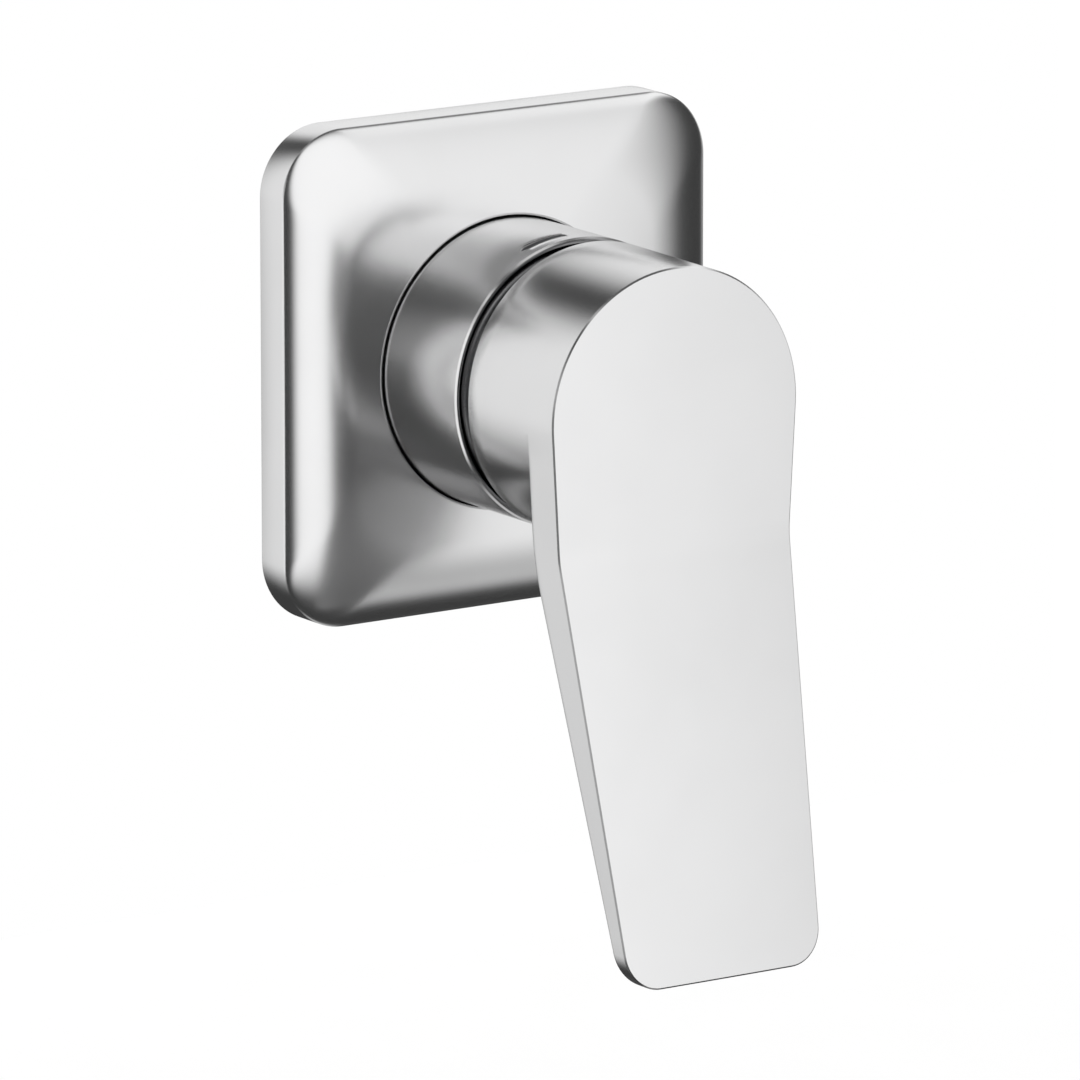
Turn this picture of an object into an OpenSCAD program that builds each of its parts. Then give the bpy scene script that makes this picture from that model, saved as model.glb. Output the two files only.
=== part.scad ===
// Concealed single-lever mixer for a shower: a crowned square wall plate, a round cover sleeve and
// a flat leaning lever, with the ceramic cartridge and the brass body that stay in the wall.
// Sizes are in millimetres. Each piece is drawn with X to the right, Y up and Z out of the wall,
// and on_wall() then stands it up, so that the finished wall is the plane Y = 0 and +Z is up.
// A size that ends in _z is a place along the mixer's axis, positive in front of the wall.

/* [Wall plate] */
// Width of the wall plate
plate_w = 80; // [76:1:110]
// Height of the wall plate
plate_h = 80; // [76:1:110]
// Radius of the plate's corners, seen from the front
plate_corner_r = 11; // [8:0.5:14]
// Depth of the plate's straight side
plate_skirt = 6.5; // [5.5:0.5:9]
// Rise of the rounded band along the plate's edge
plate_edge_rise = 2.3; // [1.6:0.1:4]
// Width of the rounded band
plate_edge_band = 12; // [9:1:14]
// Further rise of the face towards its middle
plate_crown = 1.55; // [0.8:0.05:3]
// Thickness of the plate's metal
plate_wall = 1.6; // [1:0.1:2]
// Clearance between the plate's hole and the cover sleeve
plate_hole_gap = 0.5; // [0.3:0.1:1]
// Wall of the collar behind the hole, outside the groove of its O-ring
collar_wall = 1.8; // [1.2:0.1:2.5]
// Radius of the section of the plate's O-ring
plate_oring_s = 1.1; // [0.9:0.1:1.3]
// Depth of the foam gasket behind the plate's edge
gasket_t = 3; // [2:0.5:4]
// Width of the gasket's frame
gasket_w = 4; // [3:0.5:5]

/* [Cover sleeve and dome] */
// Distance from the wall to the sleeve's front rim
sleeve_front_z = 30.4; // [29:0.1:34]
// Wall of the cover sleeve
sleeve_wall = 1.2; // [1:0.1:2]
// Depth in the wall at which the sleeve sits on the body
sleeve_seat_depth = 3; // [1:0.5:5]
// Chamfer round the sleeve's front rim
sleeve_chamfer = 0.35; // [0.2:0.05:0.5]
// Length of the engraved index line, as an angle
index_angle = 20; // [10:1:40]
// Width of the index line
index_w = 1.2; // [0.6:0.1:2]
// Depth of the index line
index_depth = 0.15; // [0.1:0.05:0.3]
// Distance from the rim to the middle of the index line
index_inset = 3.3; // [2.5:0.1:6]
// Angle from the top of the sleeve to the middle of the index line, to the left
index_left = 11; // [0:1:45]
// Wall of the dome cap
dome_wall = 1.2; // [1:0.1:1.6]
// Gap between the dome and the round hollow of the handle
dome_gap = 0.8; // [0.5:0.1:1.2]
// Least gap between the sleeve's rim and the hollow of the handle
swing_gap = 0.3; // [0.2:0.05:0.6]
// Radius of the section of the sleeve's O-ring
sleeve_oring_s = 0.85; // [0.7:0.05:1]

/* [Handle] */
// Gap between the sleeve's rim and the back edge of the handle
head_gap = 3.5; // [3:0.1:4.5]
// Length of the handle's round head
head_len = 23.4; // [22:0.1:27]
// How much smaller the head's front radius is than its back radius
head_taper = 0.3; // [0.1:0.1:1]
// Wall of the head at its front edge
head_wall = 2.9; // [2.4:0.1:3.5]
// Thickness of the head's front
head_front_wall = 4; // [3:0.1:4.5]
// Distance from the head's axis down to the lever's end
lever_reach = 87.5; // [70:0.5:120]
// Width of the lever at its end
lever_end_w = 36.2; // [30:0.2:42]
// Radius of the corners at the lever's end
lever_corner_r = 6; // [3:0.5:10]
// Thickness of the lever at the head
lever_root_t = 7.4; // [6.5:0.1:7.6]
// Thickness of the lever at its end
lever_tip_t = 3; // [2:0.1:5]
// Angle at which the lever's face leans away from the wall
lever_lean = 12.35; // [6:0.05:16]
// Distance from the axis down to the bend in the lever's face
face_bend_drop = 21.3; // [18:0.1:30]
// Radius of the bend in the lever's face
face_bend_r = 14; // [8:1:30]
// Distance from the axis down to the bend in the lever's back
back_bend_drop = 22.4; // [20:0.1:30]
// Radius of the bend in the lever's back
back_bend_r = 40; // [20:1:50]
// Radius of the boss that holds the spindle
boss_r = 7.6; // [7.2:0.1:8.2]
// Radius of the grub screw
grub_r = 2; // [1.8:0.1:2.1]
// Length of the grub screw
grub_len = 6; // [5:0.5:8]
// Thickness of the cap in the grub screw's hole
screw_cap_t = 1.6; // [1:0.1:1.8]

/* [Movement] */
// Furthest tilt of the lever, from shut to full flow
lift_max = 22; // [16:1:23]
// Furthest turn of the lever to either side
turn_max = 50; // [35:1:55]
// Distance from the pivot pin to the middle of the spindle's ball
ball_arm = 9; // [8.5:0.1:9.4]

/* [Cartridge] */
// Radius of the cartridge
cartridge_r = 17.5; // [17.3:0.1:19]
// Depth in the wall of the floor that the cartridge stands on
chamber_depth = 14; // [12:0.5:16]
// Thickness of the base's flange
base_flange_t = 3; // [2.5:0.1:4]
// Thickness of the part of the base inside the housing
base_step_t = 4; // [3:0.1:5]
// Thickness of the fixed ceramic disc
fixed_disc_t = 4; // [3:0.1:5]
// Thickness of the moving ceramic disc
moving_disc_t = 3.6; // [3:0.1:5]
// Gap between the housing and the moving ceramic disc, at the end of its travel
disc_side_gap = 0.4; // [0.3:0.05:0.6]
// Thickness of the disc driver
driver_t = 8.8; // [8.4:0.1:9.4]
// Thickness of the carrier's flange
carrier_flange_t = 3; // [2.5:0.1:4]
// Thickness of the glide ring
glide_t = 0.7; // [0.5:0.1:1]
// Wall of the housing round the discs
housing_wall = 2.4; // [2.1:0.1:2.6]
// Wall of the housing's neck
neck_wall = 2.8; // [2.4:0.1:2.9]
// Thickness of the housing's shoulder under the nut
shoulder_t = 4.6; // [4:0.1:6]
// Length of the housing's neck in front of the shoulder
neck_len = 7.2; // [6.5:0.1:8.5]
// Thickness of the temperature limiter
limiter_t = 2.2; // [1.8:0.1:2.6]
// Width across the flats of the spindle's square
spindle_w = 8; // [7.6:0.1:8.2]
// Radius of the spindle's hub on the pivot pin
hub_r = 4.6; // [4.3:0.1:5]
// Radius of the pivot pin
pin_r = 2; // [1.5:0.1:2.2]
// Radius of the spindle's ball
ball_r = 3; // [2.8:0.1:3.1]
// Radius of the spindle's shank above the ball
shank_r = 2.2; // [1.9:0.1:2.3]
// Radius of the two inlet passages
inlet_r = 2.4; // [2:0.1:2.5]
// Distance from the axis to the middle of each inlet passage
inlet_reach = 8.8; // [8.7:0.05:9]
// Angle between straight down and each inlet passage
inlet_angle = 50; // [48:1:52]
// Radius of the outlet passage
outlet_r = 3.4; // [3:0.1:3.5]
// Height of the outlet passage above the axis
outlet_rise = 1; // [0.5:0.1:1.2]
// Radius of the mixing hollow in the moving disc
mixing_r = 6.2; // [5.8:0.05:6.3]

/* [Body in the wall] */
// Wall of the body's nose round the nut
nose_wall = 2; // [1.6:0.1:3]
// How far the thread of the nut stands outside the cartridge
nut_thread = 1.1; // [0.9:0.1:1.4]
// Thickness of the nut's hexagon
nut_hex_t = 3; // [2.5:0.1:3.5]
// Width across the flats of the nut's hexagon
nut_hex_af = 34; // [33:0.5:35]
// How far the body's barrel stands outside the cover sleeve
barrel_step = 1.7; // [1.5:0.1:4]
// Distance from the cartridge's floor back to the axis of the ports
port_drop = 13; // [12.5:0.5:16]
// Distance from the mixer's axis to the face of each port
port_reach = 45; // [42:1:60]
// Radius of each port's thread at its crests, for a half-inch pipe thread
port_thread_r = 9.3; // [9.2:0.05:9.4]
// Depth of each port's thread
port_thread_len = 14; // [12:0.5:15]
// Wall of each port round its thread
port_wall = 3.9; // [3.2:0.1:5]
// Radius of the bores between the inlet ports and the cartridge
inlet_bore_r = 6.5; // [5.6:0.1:7]
// Radius of the bore between the two outlet ports
outlet_bore_r = 3.4; // [3:0.1:3.6]
// Distance between the fixing holes, across and up
lug_pitch = 54; // [52:1:70]
// Radius of the fixing holes
lug_hole_r = 2.75; // [2.2:0.05:3.3]
// Radius of each fixing lug
lug_r = 6.5; // [5.5:0.5:8]
// Thickness of the fixing lugs
lug_t = 6; // [4:0.5:8]
// Width across the flats of the outlet plug
plug_af = 24; // [22:0.5:26]
// Thickness of the outlet plug's hexagon
plug_head_t = 5; // [4:0.5:8]
// Thickness of the seal under the plug
plug_seal_t = 1.2; // [0.8:0.1:2]

/* [Hidden] */
$fn = 72;

// Clearances: a film between the discs, a running fit, a seated fit and a loose slip fit
film = 0.02;
run_gap = 0.05;
seat_gap = 0.05;
slip_gap = 0.2;
// How far a cut runs past the face that it opens
cut = 1;
// The direction straight up the wall, seen from the front
up_turn = 90;

// Radii of what nests round the cartridge, from the nut's thread out to the barrel
nut_r = cartridge_r + nut_thread;
nose_tip_r = nut_r + seat_gap + nose_wall;
dome_skirt_r = nose_tip_r + seat_gap + dome_wall;
sleeve_bore_r = dome_skirt_r + slip_gap;
sleeve_r = sleeve_bore_r + sleeve_wall;
nose_r = sleeve_bore_r - slip_gap / 2;
barrel_r = sleeve_r + barrel_step;
chamber_r = cartridge_r + seat_gap;

// Places along the axis, from the chamber's floor out to the front of the cartridge
floor_z = -chamber_depth;
base_rim_z = floor_z + base_flange_t;
base_front_z = base_rim_z + base_step_t;
fixed_front_z = base_front_z + fixed_disc_t;
moving_back_z = fixed_front_z + film;
moving_front_z = moving_back_z + moving_disc_t;
driver_front_z = moving_front_z + driver_t;
carrier_back_z = driver_front_z + slip_gap;
carrier_front_z = carrier_back_z + carrier_flange_t;
glide_back_z = carrier_front_z + run_gap;
glide_front_z = glide_back_z + glide_t;
neck_back_z = glide_front_z + run_gap;
shoulder_z = neck_back_z + shoulder_t;
neck_front_z = shoulder_z + neck_len;
collar_front_z = neck_front_z + slip_gap + limiter_t + slip_gap;

// The pivot and what swings about it
pivot_rise = 5.8;
pivot_z = carrier_back_z + pivot_rise;
ball_z = pivot_z - ball_arm;
hollow_sphere_r = sqrt(pow(sleeve_front_z - pivot_z, 2) + pow(sleeve_r, 2)) + swing_gap;
dome_r = hollow_sphere_r - dome_gap;
disc_travel = ball_arm * sin(lift_max);
disc_rest_y = disc_travel / 2;

// The handle
head_back_z = sleeve_front_z + head_gap;
head_front_z = head_back_z + head_len;
head_inset = 0.05;
head_back_r = sleeve_r - head_inset;
head_front_r = head_back_r - head_taper;
head_bore_r = head_front_r - head_wall;
head_bore_z = head_front_z - head_front_wall;
boss_len = 15.3;
boss_back_z = head_bore_z - boss_len;
spindle_end_gap = 3;
spindle_front_z = head_bore_z - spindle_end_gap;
socket_z = spindle_front_z + slip_gap;
tower_wall = 1.6;
tower_r = grub_r + tower_wall;
grub_z = pivot_z + hollow_sphere_r + tower_r + slip_gap;
grub_tip_y = -spindle_w / 2 - seat_gap;
screw_cap_lip = 0.4;
screw_cap_r = grub_r + screw_cap_lip;
lever_back_z = head_front_z - lever_root_t;

// The spindle and its carrier
spindle_corner = 1.1;
spindle_corner_r = spindle_w / 2 + spindle_corner;
shoulder_w = 2.5;
neck_r = cartridge_r - shoulder_w;
neck_bore_r = neck_r - neck_wall;
carrier_r = neck_bore_r - run_gap;
limiter_seat_w = 1.55;
collar_r = carrier_r - limiter_seat_w;
limiter_wall = 2;
limiter_r = collar_r + limiter_wall;
housing_bore_r = cartridge_r - housing_wall;
disc_bore_gap = 0.2;
seated_disc_r = housing_bore_r - disc_bore_gap;
moving_disc_r = housing_bore_r - disc_rest_y - disc_side_gap;
driver_inset = 0.7;
driver_r = moving_disc_r - driver_inset;
rib_x = 9.2;
rib_w = 1.6;
rib_h = 2;
stop_angle = 10;
peg_x = 8;
peg_r = 1.3;
peg_len = 1.8;
seal_w = 1.1;
seal_t = 1;

// The nut and the body
nut_back_z = shoulder_z;
nose_lead = 0.8;
nose_front_z = neck_front_z + nose_lead;
nut_bore_r = neck_r + slip_gap;
nose_floor_t = 1.2;
nose_step_z = nut_back_z - nose_floor_t;
seat_z = -sleeve_seat_depth;
port_z = floor_z - port_drop;
port_r = port_thread_r + port_wall;
body_back_z = port_z - port_r;
outlet_floor_gap = 1.8;
sleeve_oring_z = (seat_z + nose_step_z) / 2;
dome_back_z = nose_step_z;

// The plate
plate_half = min(plate_w, plate_h) / 2;
plate_hole_r = sleeve_r + plate_hole_gap;
plate_groove_r = sleeve_r + 2 * plate_oring_s;
plate_collar_r = plate_groove_r + collar_wall;
collar_back_z = 1.4;
plate_oring_z = 4.7;
plate_rings = 8;
plate_corner_steps = 6;
plate_edge_power = 0.7;
// Half the straight stretch left in the innermost outline of the face
plate_middle = 2;

// Stands a piece up on the wall
module on_wall() {
    rotate([90, 0, 0]) children();
}

// A round bar along the axis, from one place to another
module rod(r, from_z, to_z) {
    translate([0, 0, from_z]) cylinder(r = r, h = to_z - from_z);
}

// A ring or tube along the axis
module tube(r_out, r_in, from_z, to_z) {
    difference() {
        rod(r_out, from_z, to_z);
        rod(r_in, from_z - cut, to_z + cut);
    }
}

// A hexagonal bar along the axis, af wide across its flats
module hex_bar(af, from_z, to_z) {
    translate([0, 0, from_z]) cylinder(r = af / 2 / cos(30), h = to_z - from_z, $fn = 6);
}

// Part of a ring, centred on the direction toward, reach degrees to either side of it
module ring_sector(r_out, r_in, from_z, to_z, toward, reach) {
    rotate([0, 0, toward - reach])
        rotate_extrude(angle = 2 * reach)
            translate([r_in, from_z]) square([r_out - r_in, to_z - from_z]);
}

// A round section carried round the axis
module oring(ring_r, section_r, at_z) {
    rotate_extrude() translate([ring_r, at_z]) circle(section_r);
}

// Points along an arc, for an outline
function arc(centre, r, from_a, to_a, steps) = [
    for (i = [0:steps])
        let (a = from_a + (to_a - from_a) * i / steps)
            [centre[0] + r * cos(a), centre[1] + r * sin(a)]
];

// Height of the plate's face above the wall, inset from the plate's edge
function plate_height(inset) =
    plate_skirt
    + plate_edge_rise
        * pow(1 - pow(1 - min(inset / plate_edge_band, 1), 2), plate_edge_power)
    + plate_crown * (1 - pow(1 - inset / plate_half, 2));

// One round-cornered outline of the plate, inset from its edge, at one height
function plate_ring(inset, z) = [
    for (q = [0:3], i = [0:plate_corner_steps])
        let (
            r = plate_corner_r,
            a = 90 * (q + i / plate_corner_steps),
            right = (q == 0 || q == 3) ? 1 : -1,
            up = q < 2 ? 1 : -1
        )
            [
                right * (plate_w / 2 - inset - r) + r * cos(a),
                up * (plate_h / 2 - inset - r) + r * sin(a),
                z
            ]
];

// The plate's block, all its faces moved in by shrink, from back_z out to the crowned face
module crowned_block(shrink, back_z) {
    side = 4 * (plate_corner_steps + 1);
    deepest = plate_half - plate_corner_r - plate_middle;
    insets = [for (i = [0:plate_rings]) deepest * pow(i / plate_rings, 2)];
    points = concat(
        plate_ring(shrink, back_z),
        [for (d = insets) each plate_ring(shrink + d, plate_height(d) - shrink)]
    );
    rings = len(insets);
    walls = [
        for (k = [0:rings - 1], i = [0:side - 1])
            let (
                a = k * side + i,
                b = k * side + (i + 1) % side
            )
                [a, a + side, b + side, b]
    ];
    back = [for (i = [0:side - 1]) i];
    face = [for (i = [side - 1:-1:0]) rings * side + i];
    polyhedron(points = points, faces = concat([back, face], walls), convexity = 4);
}

module escutcheon_plate() {
    collar_front = plate_height(plate_half - plate_collar_r) - plate_wall / 2;
    color("silver") on_wall() difference() {
        union() {
            difference() {
                crowned_block(0, 0);
                crowned_block(plate_wall, -cut);
            }
            rod(plate_collar_r, collar_back_z, collar_front);
        }
        rod(plate_hole_r, -cut, head_back_z);
        rod(plate_groove_r, plate_oring_z - plate_oring_s, plate_oring_z + plate_oring_s);
    }
}

// A frame of foam just inside the plate's straight side
module gasket_outline(inset, r) {
    x = plate_w / 2 - inset;
    y = plate_h / 2 - inset;
    polygon([
        each arc([x - r, y - r], r, 0, 90, 8),
        each arc([r - x, y - r], r, 90, 180, 8),
        each arc([r - x, r - y], r, 180, 270, 8),
        each arc([x - r, r - y], r, 270, 360, 8)
    ]);
}

module wall_gasket() {
    color("dimgray") on_wall() linear_extrude(gasket_t) difference() {
        gasket_outline(plate_wall + slip_gap, plate_corner_r);
        gasket_outline(plate_wall + slip_gap + gasket_w, plate_corner_r - gasket_w);
    }
}

module plate_oring() {
    color("black") on_wall() oring(sleeve_r + plate_oring_s, plate_oring_s, plate_oring_z);
}

module cover_sleeve() {
    index_z = sleeve_front_z - index_inset;
    color("silver") on_wall() difference() {
        union() {
            rod(sleeve_r, seat_z, sleeve_front_z - sleeve_chamfer);
            translate([0, 0, sleeve_front_z - sleeve_chamfer])
                cylinder(r1 = sleeve_r, r2 = sleeve_r - sleeve_chamfer, h = sleeve_chamfer);
        }
        rod(sleeve_bore_r, seat_z - cut, sleeve_front_z + cut);
        ring_sector(
            sleeve_r + cut, sleeve_r - index_depth, index_z - index_w / 2, index_z + index_w / 2,
            up_turn + index_left, index_angle / 2
        );
    }
}

module sleeve_oring() {
    color("black") on_wall()
        oring(sleeve_bore_r - sleeve_oring_s, sleeve_oring_s, sleeve_oring_z);
}

// The way that the handle's boss sweeps through the dome: tilted up, then turned to either side
module boss_sweep() {
    gap = 0.6;
    half_w = boss_r + gap;
    swing_r = dome_r * sin(lift_max);
    far_r = swing_r + boss_r * cos(lift_max) + gap;
    front_z = pivot_z + dome_r + cut;
    rod(half_w, pivot_z, front_z);
    ring_sector(far_r, 0, pivot_z, front_z, up_turn, turn_max);
    for (side = [-1, 1]) rotate([0, 0, side * turn_max]) {
        translate([-half_w, 0, pivot_z]) cube([2 * half_w, far_r - half_w, front_z - pivot_z]);
        translate([0, far_r - half_w, 0]) rod(half_w, pivot_z, front_z);
    }
}

module dome_cap() {
    color("gray") on_wall() difference() {
        intersection() {
            translate([0, 0, pivot_z]) sphere(dome_r);
            rod(dome_skirt_r, dome_back_z, pivot_z + dome_r + cut);
        }
        intersection() {
            translate([0, 0, pivot_z]) sphere(dome_r - dome_wall);
            rod(nose_tip_r + seat_gap, dome_back_z - cut, pivot_z + dome_r);
        }
        boss_sweep();
    }
}

// One port, drawn along +Y and turned to its side of the body
module port_boss(turn) {
    rotate([0, 0, turn]) translate([0, 0, port_z]) rotate([-90, 0, 0])
        cylinder(r = port_r, h = port_reach);
}

module port_bore(turn, bore_r, from_y) {
    rotate([0, 0, turn]) translate([0, 0, port_z]) rotate([-90, 0, 0]) {
        translate([0, 0, from_y]) cylinder(r = bore_r, h = port_reach - from_y);
        translate([0, 0, port_reach - port_thread_len])
            cylinder(r = port_thread_r, h = port_thread_len + cut);
    }
}

// One fixing lug, on the diagonal toward turn
module fixing_lug(turn) {
    lug_reach = lug_pitch / 2 * sqrt(2);
    rotate([0, 0, turn]) translate([0, 0, body_back_z]) {
        translate([0, -lug_r, 0]) cube([lug_reach, 2 * lug_r, lug_t]);
        translate([lug_reach, 0, 0]) cylinder(r = lug_r, h = lug_t);
    }
}

module fixing_hole(turn) {
    rotate([0, 0, turn]) translate([lug_pitch / 2 * sqrt(2), 0, 0])
        rod(lug_hole_r, body_back_z - cut, body_back_z + lug_t + cut);
}

// Places of the two inlet passages, hot on the left and cold on the right
module at_inlets() {
    for (side = [-1, 1])
        translate([side * inlet_reach * sin(inlet_angle), -inlet_reach * cos(inlet_angle), 0])
            children();
}

module at_outlet() {
    translate([0, outlet_rise, 0]) children();
}

module valve_body() {
    inlet_bore_end = outlet_bore_r + outlet_floor_gap;
    color("goldenrod") on_wall() difference() {
        union() {
            rod(barrel_r, body_back_z, seat_z);
            rod(nose_r, seat_z, nose_step_z);
            rod(nose_tip_r, nose_step_z, nose_front_z);
            for (turn = [0:90:270]) port_boss(turn);
            for (turn = [45:90:315]) fixing_lug(turn);
        }
        rod(chamber_r, floor_z, nose_front_z + cut);
        rod(nut_r + seat_gap, nut_back_z - slip_gap, nose_front_z + cut);
        tube(
            nose_r + cut, sleeve_bore_r - 2 * sleeve_oring_s,
            sleeve_oring_z - sleeve_oring_s - slip_gap,
            sleeve_oring_z + sleeve_oring_s + slip_gap
        );
        at_inlets() rod(inlet_r, port_z, floor_z + cut);
        at_outlet() rod(outlet_r, port_z, floor_z + cut);
        for (turn = [90, 270]) port_bore(turn, inlet_bore_r, inlet_bore_end);
        for (turn = [0, 180]) port_bore(turn, outlet_bore_r, 0);
        for (turn = [45:90:315]) fixing_hole(turn);
    }
}

// Places a piece under the lower outlet port, its Z pointing down out of the port
module under_lower_port() {
    translate([0, -port_reach, port_z]) rotate([90, 0, 0]) children();
}

// A hexagonal head with its outer corners turned off, over a threaded shank
module outlet_plug() {
    end_gap = 3;
    shank_len = port_thread_len - end_gap;
    corner_turn = 0.6;
    head_z = plug_seal_t + plug_head_t;
    turned_r = plug_af / 2 + corner_turn;
    color("goldenrod") on_wall() under_lower_port() {
        rod(port_thread_r - seat_gap, -shank_len, plug_seal_t);
        intersection() {
            hex_bar(plug_af, plug_seal_t, head_z);
            translate([0, 0, plug_seal_t])
                cylinder(r1 = turned_r + plug_head_t, r2 = turned_r, h = plug_head_t);
        }
    }
}

module plug_seal() {
    seal_edge = 0.6;
    color("firebrick") on_wall() under_lower_port()
        tube(plug_af / 2 - seal_edge, port_thread_r, 0, plug_seal_t);
}

module cartridge_nut() {
    hex_back_z = nose_front_z + slip_gap;
    color("goldenrod") on_wall() difference() {
        union() {
            rod(nut_r, nut_back_z, hex_back_z);
            hex_bar(nut_hex_af, hex_back_z, hex_back_z + nut_hex_t);
        }
        rod(nut_bore_r, nut_back_z - cut, hex_back_z + nut_hex_t + cut);
    }
}

module cartridge_housing() {
    stop_width = 6;
    stop_gap = 1;
    stop_root = 0.5;
    color("ivory") on_wall() union() {
        difference() {
            union() {
                rod(cartridge_r, base_rim_z, shoulder_z);
                rod(neck_r, shoulder_z, neck_front_z);
            }
            rod(housing_bore_r, base_rim_z - cut, neck_back_z);
            rod(neck_bore_r, neck_back_z - cut, neck_front_z + cut);
        }
        for (side = [-1, 1])
            ring_sector(
                neck_r - slip_gap, limiter_r + slip_gap,
                neck_front_z - stop_root, neck_front_z + limiter_t,
                -up_turn + side * (turn_max + stop_angle + stop_gap + stop_width), stop_width
            );
    }
}

// Seals round the three water passages, from one place along the axis to another
module passage_seals(from_z, to_z) {
    at_inlets() tube(inlet_r + seal_w, inlet_r, from_z, to_z);
    at_outlet() tube(outlet_r + seal_w, outlet_r, from_z, to_z);
}

module cartridge_base() {
    color("ivory") on_wall() difference() {
        union() {
            rod(cartridge_r, floor_z, base_rim_z);
            rod(seated_disc_r, base_rim_z, base_front_z);
        }
        at_inlets() rod(inlet_r, floor_z - cut, base_front_z + cut);
        at_outlet() rod(outlet_r, floor_z - cut, base_front_z + cut);
        at_inlets() rod(inlet_r + seal_w, floor_z - cut, floor_z + seal_t);
        at_outlet() rod(outlet_r + seal_w, floor_z - cut, floor_z + seal_t);
        at_inlets() rod(inlet_r + seal_w, base_front_z - seal_t, base_front_z + cut);
        at_outlet() rod(outlet_r + seal_w, base_front_z - seal_t, base_front_z + cut);
    }
}

module base_seals() {
    color("black") on_wall() passage_seals(floor_z, floor_z + seal_t);
}

module disc_seals() {
    color("black") on_wall() passage_seals(base_front_z - seal_t, base_front_z);
}

module fixed_disc() {
    color("white") on_wall() difference() {
        rod(seated_disc_r, base_front_z, fixed_front_z);
        at_inlets() rod(inlet_r, base_front_z - cut, fixed_front_z + cut);
        at_outlet() rod(outlet_r, base_front_z - cut, fixed_front_z + cut);
    }
}

// Pegs that carry the moving disc along with the driver, or their holes
module driver_pegs(r, from_z, to_z) {
    for (side = [-1, 1]) translate([side * peg_x, disc_rest_y, 0]) rod(r, from_z, to_z);
}

module moving_disc() {
    mixing_depth = 2;
    color("white") on_wall() difference() {
        translate([0, disc_rest_y, 0]) rod(moving_disc_r, moving_back_z, moving_front_z);
        translate([0, outlet_rise, 0])
            rod(mixing_r, moving_back_z - cut, moving_back_z + mixing_depth);
        driver_pegs(peg_r + seat_gap, moving_front_z - peg_len, moving_front_z + cut);
    }
}

module disc_driver() {
    ball_gap = 0.1;
    socket_w = 2 * (ball_r + ball_gap);
    socket_back_z = ball_z - ball_r - ball_gap;
    mouth_z = ball_z + 1.4;
    mouth_r = 5;
    color("seagreen") on_wall() {
        difference() {
            translate([0, disc_rest_y, 0]) rod(driver_r, moving_front_z, driver_front_z);
            translate([-socket_w / 2, -socket_w / 2, socket_back_z])
                cube([socket_w, socket_w, driver_front_z - socket_back_z + cut]);
            rod(mouth_r, mouth_z, driver_front_z + cut);
            for (side = [-1, 1])
                translate([
                    side * (rib_x + rib_w / 2) - rib_w / 2 - run_gap,
                    -moving_disc_r,
                    driver_front_z - rib_h
                ])
                    cube([rib_w + 2 * run_gap, 3 * moving_disc_r, rib_h + cut]);
        }
        driver_pegs(peg_r, moving_front_z - peg_len + slip_gap, moving_front_z);
    }
}

module glide_ring() {
    color("white") on_wall()
        tube(housing_bore_r - slip_gap, carrier_r + slip_gap, glide_back_z, glide_front_z);
}

// The opening in the carrier in which the spindle tilts, as wide as its square and a running fit
module spindle_slot() {
    w = spindle_w + 2 * run_gap;
    gap = 0.3;
    back_z = carrier_back_z - cut;
    front_z = collar_front_z + cut;
    shank_gap = 1;
    down_y = (pivot_z - back_z) * tan(lift_max) + (shank_r + shank_gap) / cos(lift_max) + gap;
    up_y = (front_z - pivot_z) * tan(lift_max) + spindle_w / 2 / cos(lift_max) + gap;
    hub_y = hub_r + gap / 2;
    rest_y = spindle_w / 2 + run_gap;
    // The outline is drawn as [up, out] and laid across the carrier
    translate([-w / 2, 0, 0]) rotate([90, 0, 90]) linear_extrude(w) union() {
        polygon([
            [-down_y, back_z], [shank_r + shank_gap + gap, back_z], [hub_y, pivot_z],
            [up_y, front_z], [-rest_y, front_z], [-rest_y, pivot_z], [-hub_y, pivot_z]
        ]);
        translate([0, pivot_z]) circle(hub_y);
    }
}

// A round bar across the pivot
module cross_bar(r, w) {
    translate([-w / 2, 0, pivot_z]) rotate([0, 90, 0]) cylinder(r = r, h = w);
}

module spindle_carrier() {
    rib_len = 12;
    color("seagreen") on_wall() {
        difference() {
            union() {
                rod(housing_bore_r - slip_gap, carrier_back_z, carrier_front_z);
                rod(carrier_r, carrier_front_z, neck_front_z + slip_gap);
                rod(collar_r, neck_front_z + slip_gap, collar_front_z);
            }
            spindle_slot();
            cross_bar(pin_r, 2 * carrier_r + 2 * cut);
        }
        for (side = [-1, 1])
            translate([
                side * (rib_x + rib_w / 2) - rib_w / 2,
                -rib_len / 2,
                carrier_back_z - rib_h + run_gap
            ])
                cube([rib_w, rib_len, rib_h - run_gap]);
    }
}

module pivot_pin() {
    pin_inset = 0.6;
    color("lightgray") on_wall() cross_bar(pin_r, 2 * (carrier_r - pin_inset));
}

module temperature_limiter() {
    from_z = neck_front_z + slip_gap;
    lug_r_out = neck_r - slip_gap;
    color("crimson") on_wall() {
        tube(limiter_r, collar_r, from_z, from_z + limiter_t);
        ring_sector(
            lug_r_out, limiter_r - slip_gap, from_z, from_z + limiter_t, -up_turn, stop_angle
        );
    }
}

module spindle() {
    square_back_z = pivot_z;
    color("goldenrod") on_wall() difference() {
        union() {
            intersection() {
                translate([-spindle_w / 2, -spindle_w / 2, square_back_z])
                    cube([spindle_w, spindle_w, spindle_front_z - square_back_z]);
                rod(spindle_corner_r, square_back_z, spindle_front_z);
            }
            cross_bar(hub_r, spindle_w);
            rod(shank_r, ball_z, pivot_z);
            translate([0, 0, ball_z]) sphere(ball_r);
        }
        cross_bar(pin_r + run_gap, spindle_w + 2 * cut);
    }
}

// Half the width of the lever at its end
lever_end_half = lever_end_w / 2;
// The lever's straight sides touch the head's front circle: their angle and the touching point
side_drop = sqrt(pow(lever_reach, 2) + pow(lever_end_half, 2) - pow(head_front_r, 2));
side_turn = atan2(lever_end_half, lever_reach) + atan2(side_drop, head_front_r) - 90;
touch_x = head_front_r * cos(side_turn);
touch_y = head_front_r * sin(side_turn);

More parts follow.
